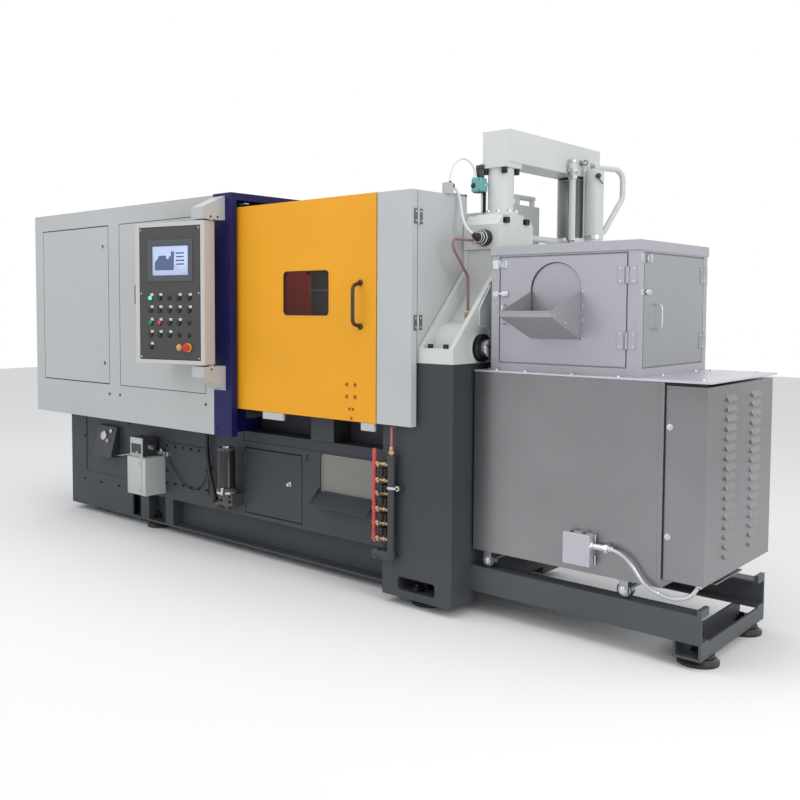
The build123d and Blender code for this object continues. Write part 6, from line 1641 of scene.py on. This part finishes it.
@dataclass
class CastingTrim:
    """Bolts, coupling, copper line, scale and limit switch on the white casting and its column.

    Attributes:
        column: The column in plan.
        head_top: Top of the casting's head.
        pocket_floor: Floor of the bolt pockets.
        bolt_spread: The head bolts' distance from the column's axis each way.
    """

    column: tuple[float, float] = (926.0, 0.0)
    head_top: float = 1599.0
    pocket_floor: float = 1561.0
    bolt_spread: float = 77.0

    def build(self) -> None:
        """Builds the casting's fittings from the head outwards."""
        self._bolts()
        self._coupling()
        self._lines()
        self._scale()
        self._switch()
        self._tie_bars()
        self._bosses()

    def _bolts(self) -> None:
        """Sets the head, flange, ring and base bolts."""
        x0, y0 = self.column
        black = Piece("casting_bolts", PALETTE.bolt)
        bright = Piece("casting_bright_bolts", PALETTE.zinc)
        for side_x in (-1, 1):
            for side_y in (-1, 1):
                x, y = x0 + side_x * self.bolt_spread, y0 + side_y * self.bolt_spread
                black.add(bolt((x, y, self.pocket_floor), UP, 15, 23))
                black.add(bolt((x0 + 46 * side_x, y0 + 46 * side_y, 1793), DOWN, 12.5, 24))
                black.add(bolt((x0 - 8 + 37 * side_x, 422 * side_y, 1055), UP, 11, 17))
        for step in range(8):
            angle = math.radians(45 * step + 22.5)
            bright.add(bolt((
                x0 + 62.5 * math.cos(angle), y0 + 62.5 * math.sin(angle), 1611,
            ), UP, 6.8, 9, Head.HEX))
        bright.add(bolt((1001, 16, 1533), RIGHT, 4, 2, PAN))
        black.build()
        bright.build()
        Piece("casting_seam", PALETTE.seam).build(plated(
            facing((917, 0, 1452), UP), 84.4, 135.4, 0.5, ((0, -0.8), (0, 0.8), (1, 0.8), (1, -0.8)),
            ring=True,
        ))

    def _coupling(self) -> None:
        """Turns the ribbed black coupling with its bright ring and its hub."""
        axis = facing((942, -135, 1499), FRONT)
        Piece("coupling_body", PALETTE.plastic).build(
            turned(axis, (
                (33, 0.2), (34, 2), (34, 5), (32.4, 6), (32.4, 8), (34, 9), (34, 12), (32.4, 13),
                (32.4, 15), (34, 16), (34, 22), (33, 30), (30, 36), (26, 38.5), (21, 39),
            ), 36),
            turned(axis, ((21, 38), (21, 52), (18, 58), (12, 60)), 24),
        )
        Piece("coupling_ring", PALETTE.zinc).build(turned(
            axis, ((21.2, 40), (24, 41), (24, 45), (21.2, 46)), 36, ring=True,
        ))

    @staticmethod
    def _lines() -> None:
        """Draws the copper and grease lines with their nuts."""
        run_line("copper_line", (
            (0.918, -0.190, 1.487), (0.918, -0.30, 1.487), (0.918, -0.322, 1.487), (0.918, -0.328, 1.470),
            (0.918, -0.326, 1.452), (0.918, -0.316, 1.437), (0.918, -0.238, 1.355), (0.918, -0.224, 1.340),
            (0.918, -0.222, 1.318), (0.918, -0.222, 1.200),
        ), 0.011, PALETTE.copper, "machine", "copper_pipe")
        run_line("grease_line", (
            (1.0053, -0.186, 1.310), (1.0053, -0.258, 1.224), (1.0053, -0.272, 1.208),
            (1.0053, -0.272, 1.186), (1.0053, -0.272, 1.160), (1.0053, -0.270, 1.143),
            (1.0053, -0.250, 1.139), (1.0053, -0.222, 1.1345), (1.0053, -0.205, 1.130),
            (1.0053, -0.200, 1.110), (1.0053, -0.193, 1.082),
        ), 0.008, PALETTE.white_line, "machine", "grease_pipe")
        Piece("line_nuts", PALETTE.brass).build(
            turned(facing((918, -135, 1487), FRONT), (
                *hexed(13.5, 0, 14), (9, 15), (9, 34), *hexed(12.8, 35, 50), (8, 55), (6, 57),
            )),
            turned(facing((918, -222, 1200), UP), (*hexed(12.8, -26, -6), (8, 0), (6.2, 3))),
            turned(facing((1001, -186, 1310), RIGHT), (*hexed(9, 0, 8), (6, 9))),
            turned(facing((1001, -193, 1082), RIGHT), (*hexed(9, 0, 8), (6, 9))),
        )

    def _scale(self) -> None:
        """Lays the white and the dark strip of the stroke scale."""
        Piece("scale_white", PALETTE.cord_white, edge=0.4).build(box((857.4, 866.5), (-45.6, -38.6), (
            self.head_top, 1740.5,
        )))
        Piece("scale_dark", PALETTE.bolt, edge=0.4).build(box((866.5, 878.6), (-45.6, -38.6), (
            self.head_top, 1740.5,
        )))

    @staticmethod
    def _switch() -> None:
        """Moulds the turquoise limit switch with its black cap, cover and bracket."""
        front = facing((865, -72, 1725), FRONT)
        Piece("switch_body", PALETTE.turquoise, edge=0.5).build(
            plated(front, 25, 29, 6, ((0, -20), (0, 18), (3, 23))),
            plated(front.moved(18, -6), 9, 20, 4, ((0, -22), (0, 22), (2, 24))),
            plated(front.moved(-10, 26), 11, 6, 3, ((0, -14), (0, 14), (2, 16))), replaced="limit_switch",
        )
        Piece("switch_cap", PALETTE.plastic).build(
            turned(front.moved(-13, -2, 20), ((11, 0), (11, 5), (9, 8), (5, 9))),
            plated(front.moved(2, -29), 20, 3, 2, ((0, -16), (0, 16), (1, 17))),
            bolt(front.at(16, 20, 22), FRONT, 3, 2, PAN), bolt(front.at(16, -22, 23), FRONT, 3, 2, PAN),
        )
        Piece("switch_bracket", PALETTE.supply, edge=1.0).build(
            box((845, 885), (-67, -62.2), (1745, 1810)), bolt((853, -67, 1796), FRONT, 5, 4),
            bolt((877, -67, 1796), FRONT, 5, 4),
        )
        Piece("switch_lever", PALETTE.zinc).build(
            piped(np.linspace((886, -84, 1700), (892, -60, 1728), 6), 3),
            turned(facing((888, -56, 1728), RIGHT), ((7, 0), (7, 6), (5, 7))),
        )

    @staticmethod
    def _bosses() -> None:
        """Rounds the boss of each tie bar between the casting's ribs."""
        angle = np.linspace(0.0, np.pi, 33)
        arc = np.stack((100 * np.cos(angle), 100 * np.sin(angle)), axis=1)
        Piece("frame_bosses", PALETTE.casting).build(*(
            prism(facing((0, y, 1054), RIGHT), arc, 852.6, 981.4) for y in (-265, 265)
        ))

    @staticmethod
    def _tie_bars() -> None:
        """Faces each tie-bar end with its chamfered tip and its lock screws."""
        tips = Piece("tie_bar_tips", PALETTE.zinc)
        locks = Piece("tie_bar_locks", PALETTE.bolt)
        for y in (-265, 265):
            end = facing((1051, y, 1055), RIGHT)
            tips.add(turned(end, ((35, -3), (35.2, 0), (32, 3), (9, 3), (8, -2)), 40))
            locks.add(turned(end, (
                (54, -43.2), (56, -42), (56, -36), (53, -35), (53, -33), (56, -32), (56, -26), (52, -22),
                (44, -20.5), (38, -20.5),
            ), 48))
            locks.add(*(
                prism(end.spun(angle), ((6, -2.5), (24, -2.5), (24, 2.5), (6, 2.5)), 2.6, 3.6)
                for angle in (0.5, 2.6, 4.7)
            ))
        tips.build()
        locks.build()


@dataclass
class TopFittings:
    """Nuts, eye, thin pipe and valves by the beam, the tank and the bottle."""

    bottle: tuple[float, float] = (1050.0, 586.0)
    drop: tuple[float, float] = (1010.0, 455.0)

    def build(self) -> None:
        """Builds the fittings at the back of the beam."""
        drop = facing((*self.drop, 0), UP)
        Piece("pipe_nuts", PALETTE.zinc).build(
            turned(drop, (*hexed(19, 1790, 1806), (16, 1808))),
            turned(drop, (*hexed(21, 1820, 1836), (19, 1837))),
            turned(drop, ((19.4, 1862), (21.5, 1864), (21.5, 1872), (14, 1878), (8, 1880))),
            turned(facing((991, 455, 1853), RIGHT), (*hexed(24, 0, 9), (20, 10))),
            turned(facing((926, 135, 1517), BACK), (*hexed(22, 0, 16), (16, 18))),
            turned(facing((926, 545, 1517), FRONT), (*hexed(20, 0, 16), (16, 18))),
        )
        Piece("thin_pipe", PALETTE.cord_white).build(
            piped(np.linspace((1008, 570, 1528), (1008, 570, 1866), 12), 5.5),
            turned(facing((991, 570, 1866), RIGHT), (*hexed(8, 0, 10), (6, 12), (6, 22))),
        )
        eye = facing((991, 560, 1874), RIGHT)
        Piece("beam_eye", PALETTE.steel).build(
            turned(eye, (*hexed(12, 0, 7), (5, 8), (5, 16))),
            turned(
                facing((1017, 560, 1874), FRONT), ((13, -3), (14, 0), (13, 3), (8, 3), (7, 0), (8, -3)),
                ring=True,
            ),
        )
        self._bottle()
        tank = facing((926, 632, 0), UP)
        Piece("tank_sleeve", PALETTE.tank).build(turned(tank, (
            (72, 1149.5), (79, 1156), (79, 1796), (77.9, 1801), (77.9, 1160),
        ), 56, ring=True))
        # Black band over the tank just above the sleeve: painted shade of the gap at the sleeve's top.
        Piece("tank_top_gap_shade", PALETTE.bolt).build(turned(
            tank, ((78.6, 1803), (78.6, 1814.6), (77, 1814.8), (77, 1802.8)), 56, ring=True,
        ))

    def _bottle(self) -> None:
        """Shoulders the bottle, bands it and screws its black valve to the side."""
        axis = facing((*self.bottle, 0), UP)
        Piece("bottle_shoulder", PALETTE.casting).build(
            turned(axis, (
                (40.4, 1790), (40.6, 1800), (39, 1815), (33, 1830), (24, 1839), (20.6, 1842), (20.6, 1872),
                (14, 1876),
            ), 40),
            turned(axis, ((30, 1146), (38, 1150), (40.4, 1160), (40.4, 1170)), 40),
        )
        Piece("bottle_band", PALETTE.zinc).build(
            turned(axis, ((40.2, 1525), (42, 1526), (42, 1544), (40.2, 1545)), 40, ring=True),
            turned(axis, (*hexed(20.8, 1846, 1862), (18, 1863))),
        )
        side = facing((1077, 559, 1808), (0.707, -0.707, 0))
        Piece("bottle_valve", PALETTE.plastic).build(
            turned(side, ((6, -4), (6, 6), (11, 7, RIBBED), (11, 18, RIBBED), (8, 20))),
            piped(np.linspace(side.at(-3, -6, 15), side.at(20, -38, 15), 6), 2.6),
        )


@dataclass
class FurnaceTrim:
    """Folds, screws, lids, wheels and the junction box of the furnace, and its hood.

    Attributes:
        body: The body that the fixed fittings ride on.
        front_y: The furnace's front; not used.
        hood_y: The hood's front.
        hood_x: The hood's right side.
        front_hinges: Heights of the front door's hinges.
        side_hinges: Heights of the side door's hinges.
    """

    body: str = "furnace_trolley"
    front_y: float = -305.0
    hood_y: float = -270.0
    hood_x: float = 1663.0
    front_hinges: tuple[float, float] = (1099.0, 1330.0)
    side_hinges: tuple[float, float] = (1086.0, 1340.0)

    def build(self) -> None:
        """Builds the furnace's trim, then its hood's."""
        self._shell()
        self._junction_box()
        self._wheels()
        self._hood_frame()
        self._front_door()
        self._side_door()
        self._tray()

    def _shell(self) -> None:
        """Folds the front's right edge and the back, fills the gaps beside the fold and under the lid with
        black as painted shade, and sets the cover's nuts and the screws.
        """
        Piece("furnace_fold", PALETTE.silver, self.body, 1.0).build(
            box((1759, 1774.6), (-307, -304), (259, 963)),
            box((1778, 1917.6), (-299.6, -297), (944, 952.6)),
        )
        # Black strips in the gap beside the fold and in the gap under the lid's overhang: painted shade of
        # those gaps.
        Piece("furnace_gap_shade", PALETTE.bolt, self.body).build(
            box((1774.2, 1778.2), (-303, -297.6), (289, 952)),
            box((1776, 1917), (-299, -296), (953.2, 964)),
        )
        screws = Piece("furnace_screws", PALETTE.zinc, self.body)
        for z in (813, 438):
            screws.add(bolt((1793, -298, z), FRONT, 9, 9, NUT))
        for x, y in (
            (1100, -289), (1225, -289), (1420, -289), (1600, -289), (1684, -113), (1684, 187), (1030, -230),
            (1030, 200), (1720, 250), (1880, -240), (1880, 280),
        ):
            screws.add(bolt((x, y, 972), UP, 7, 6, PAN))
        for x in (1060, 1390, 1730):
            for z in (300, 610, 920):
                screws.add(bolt((x, 322, z), BACK, 6, 4, PAN))
        screws.build()
        Piece("furnace_back_fold", PALETTE.silver, self.body).build(
            plated(facing((1393, 322, 611), BACK), 372, 342, 4, ((0, -1), (0, 1.4), (1, 2)))
        )

    def _junction_box(self) -> None:
        """Closes the small box on the furnace with its lid, hinge pins and screws."""
        lid = facing((1479.5, -345, 347.5), FRONT)
        Piece("furnace_box_lid", PALETTE.junction, self.body).build(
            plated(lid, 53, 57, 4, ((0, -8), (0, 2.4), (1.4, 3.6))),
            plated(facing((1479.5, -325, 403), UP), 50, 19, 3, ((0, -0.5), (0, 1.6), (0.8, 2.2))),
        )
        Piece("furnace_box_pins", PALETTE.zinc, self.body).build(
            turned(facing((1536, -312, 330), UP), ((3.5, -34), (3.5, -2), (2.5, 0))),
            turned(facing((1536, -312, 384), UP), ((3.5, -8), (3.5, 18), (2.5, 20))),
        )
        Piece("furnace_box_screws", PALETTE.bolt, self.body).build(*(
            bolt((x, -325, 404.8), UP, 8, 2.4) for x in (1452, 1500)
        ))

    def _wheels(self) -> None:
        """Puts washers and axle bolts on both ends of each axle, and rubber rings on the wheels."""
        for node, x in (("wheelset_left", 1070), ("wheelset_right", 1637)):
            caps = Piece(f"{node}_bolts", PALETTE.zinc, node)
            tyres = Piece(f"{node}_tyres", PALETTE.rubber, node)
            for side in (-1, 1):
                spot = facing((x, side * 294.3, 219.3), (0, side, 0))
                caps.add(turned(spot, ((15, 0.3), (15, 2.5), *hexed(11, 2.8, 9), (8, 10.5), (5, 10.5))))
                for edge in (-12.6, 12.6):
                    rim = facing((x, side * 274 + edge, 219.3), BACK)
                    tyres.add(turned(
                        rim, ((24, -1.3), (28.05, -1.2), (28.05, 1.2), (24, 1.3)), 32, ring=True,
                    ))
            caps.build()
            tyres.build()

    @staticmethod
    def _hinge(plates: Piece, screws: Piece, spot: Place, half_width: float, shift: float) -> None:
        """Adds one leaf of a hinge with its two screws.

        Args:
            plates: The piece that takes the leaf.
            screws: The piece that takes the screws.
            spot: The leaf's middle and directions.
            half_width: Half the leaf's width.
            shift: Where the screws sit across it.
        """
        plates.add(plated(spot, half_width, 32, 3, LEAF))
        for lift in (-22, 22):
            screws.add(bolt(spot.at(shift, lift, 2.4), spot.w, 4.5, 2.4, PAN))

    def _hood_frame(self) -> None:
        """Screws along the hood's left edge and plates of the hinges on its frame."""
        screws = Piece("hood_screws", PALETTE.zinc, self.body)
        for z in (1338, 1250, 1176, 1084):
            screws.add(bolt((1074, self.hood_y, z), FRONT, 4, 2.6, PAN))
        plates = Piece("hood_hinge_plates", PALETTE.hood, self.body, 0.6)
        for z in self.front_hinges:
            self._hinge(plates, screws, facing((1640, self.hood_y, z), FRONT), 14, 3)
        for z in self.side_hinges:
            self._hinge(plates, screws, facing((self.hood_x, 320, z), RIGHT), 13, 3)
        screws.build()
        plates.build()
        Piece("hood_hasp_plates", PALETTE.zinc, self.body, 0.5).build(
            plated(facing((1081, self.hood_y, 1381), FRONT), 13, 17, 3, HASP),
            plated(facing((1081, self.hood_y, 1267), FRONT), 13, 10, 3, HASP),
            plated(facing((self.hood_x, -251, 1388), RIGHT), 13, 17, 3, HASP),
            plated(facing((self.hood_x, -251, 1270), RIGHT), 13, 10, 3, HASP),
        )
        Piece("hood_lid_rail", PALETTE.hood, self.body, 1.0).build(
            plated(facing((1362.5, -274, 1421), FRONT), 304, 5, 2, ((0, -0.4), (0, 1.4), (0.6, 2)))
        )

    @staticmethod
    def _hasp(spot: Place) -> list[Surface]:
        """Returns a hasp lug with its hole, standing out from a door."""
        tab = Place(spot.at(0, 0, 12), spot.w, spot.v, -spot.u)
        return [
            plated(tab, 12, 16, 8, ((0, -1.5), (0, 1.5), (6.5, 1.5), (6.5, -1.5)), ring=True, steps=6),
            plated(spot.moved(10, 0), 10, 14, 3, ((0, -0.5), (0, 2), (0.5, 2.5))),
        ]

    @staticmethod
    def _clamp(spot: Place) -> list[Surface]:
        """Returns a toggle clamp with its rounded lever."""
        return [
            plated(spot, 15, 10, 3, ((0, -0.5), (0, 8), (2, 10))),
            plated(spot.moved(-14, 1), 12, 5, 4.5, ((0, 2), (0, 9), (2, 11))),
            turned(spot.moved(6, 0, 9), ((5, 0), (5, 3), (4, 4)), 16),
        ]

    def _front_door(self) -> None:
        """Dresses the front door: hasp, clamp, handle, hinge leaves, and a black line round its mouth
        painted as the shadow in the gap behind its edge.
        """
        body = "hood_front_door"
        Piece("front_door_latches", PALETTE.zinc, body, 0.4).build(
            *self._hasp(facing((1112, self.hood_y, 1381), FRONT)),
            *self._clamp(facing((1124, self.hood_y, 1267), FRONT)),
            staple(facing((1126, self.hood_y, 1188), FRONT), 36, 26, 4),
        )
        leaves = Piece("front_door_leaves", PALETTE.hood, body, 0.6)
        screws = Piece("front_door_screws", PALETTE.zinc, body)
        for z in self.front_hinges:
            self._hinge(leaves, screws, facing((1596, self.hood_y, z), FRONT), 13, -3)
        for x in (1284, 1341, 1394):
            screws.add(bolt((x, self.hood_y, 1093), FRONT, 4.5, 3, PAN))
        for z in (1103, 1170, 1222, 1272):
            screws.add(bolt((1448, self.hood_y, z), FRONT, 4.5, 3, PAN))
        leaves.build()
        screws.build()
        # Thin black tube along the mouth's arch and sides: painted shadow of the gap between the flap
        # behind the mouth and the door's edge.
        angle = np.linspace(0.0, np.pi, 25)[:, None]
        bow = np.array((1339.0, -266.0, 1279.0)) + 104.5 * (np.cos(angle) * RIGHT + np.sin(angle) * UP)
        path = np.concatenate((((1443.5, -266.0, 1104.0),), bow, ((1234.5, -266.0, 1104.0),)))
        Piece("mouth_shadow_line", PALETTE.bolt, body).build(piped(path, 2.6, 8))

    def _side_door(self) -> None:
        """Dresses the side door: hasp, clamp, handle and hinge leaves."""
        body = "hood_side_door"
        Piece("side_door_latches", PALETTE.zinc, body, 0.4).build(
            *self._hasp(facing((self.hood_x, -220, 1388), RIGHT)),
            *self._clamp(facing((self.hood_x, -208, 1270), RIGHT)),
        )
        Piece("side_door_handle", PALETTE.lid, body).build(staple(
            facing((self.hood_x, -140, 1183), RIGHT), 44, 26, 4,
        ))
        # The side door's leaves take the same painted shade as the door.
        leaves = Piece("side_door_leaves", PALETTE.hood_side_shade, body, 0.6)
        screws = Piece("side_door_screws", PALETTE.zinc, body)
        for z in self.side_hinges:
            self._hinge(leaves, screws, facing((self.hood_x, 278, z), RIGHT), 13, -3)
        leaves.build()
        screws.build()

    def _tray(self) -> None:
        """Rolls the ingot tray's upper edges and rivets its wings."""
        body = "hood_front_door"
        left, right = 1235.0, 1443.0
        lips = (
            ((left + 1.5, -482.0, 1201.0), (left + 1.5, -271.0, 1274.0)),
            ((right - 1.5, -482.0, 1201.0), (right - 1.5, -271.0, 1274.0)),
            ((left, -481.0, 1201.0), (right, -481.0, 1201.0)),
        )
        Piece("tray_lips", PALETTE.tray, body).build(*(
            piped(np.linspace(*ends, 12), 2.4, 8) for ends in lips
        ))
        rivets = Piece("tray_rivets", PALETTE.zinc, body)
        for y, z in ((-460, 1190), (-380, 1160), (-300, 1130)):
            rivets.add(bolt((right, y, z), RIGHT, 3.5, 2, PAN), bolt((left, y, z), LEFT, 3.5, 2, PAN))
        rivets.build()


def main() -> None:
    """Builds the studio and the cords, then dresses the machine, piece by piece."""
    logging.basicConfig(level=logging.INFO, format="%(message)s")
    bpy.context.scene.view_settings.view_transform = "Standard"
    sections = (
        Studio(), Cords(), CadFinishes(), ControlPanel(), CabinetTrim(), DieBay(), BedTrim(),
        WaterManifold(), CastingTrim(), TopFittings(), FurnaceTrim(),
    )
    for section in sections:
        LOG.info("building %s", type(section).__name__)
        section.build()


if __name__ == "__main__":
    main()
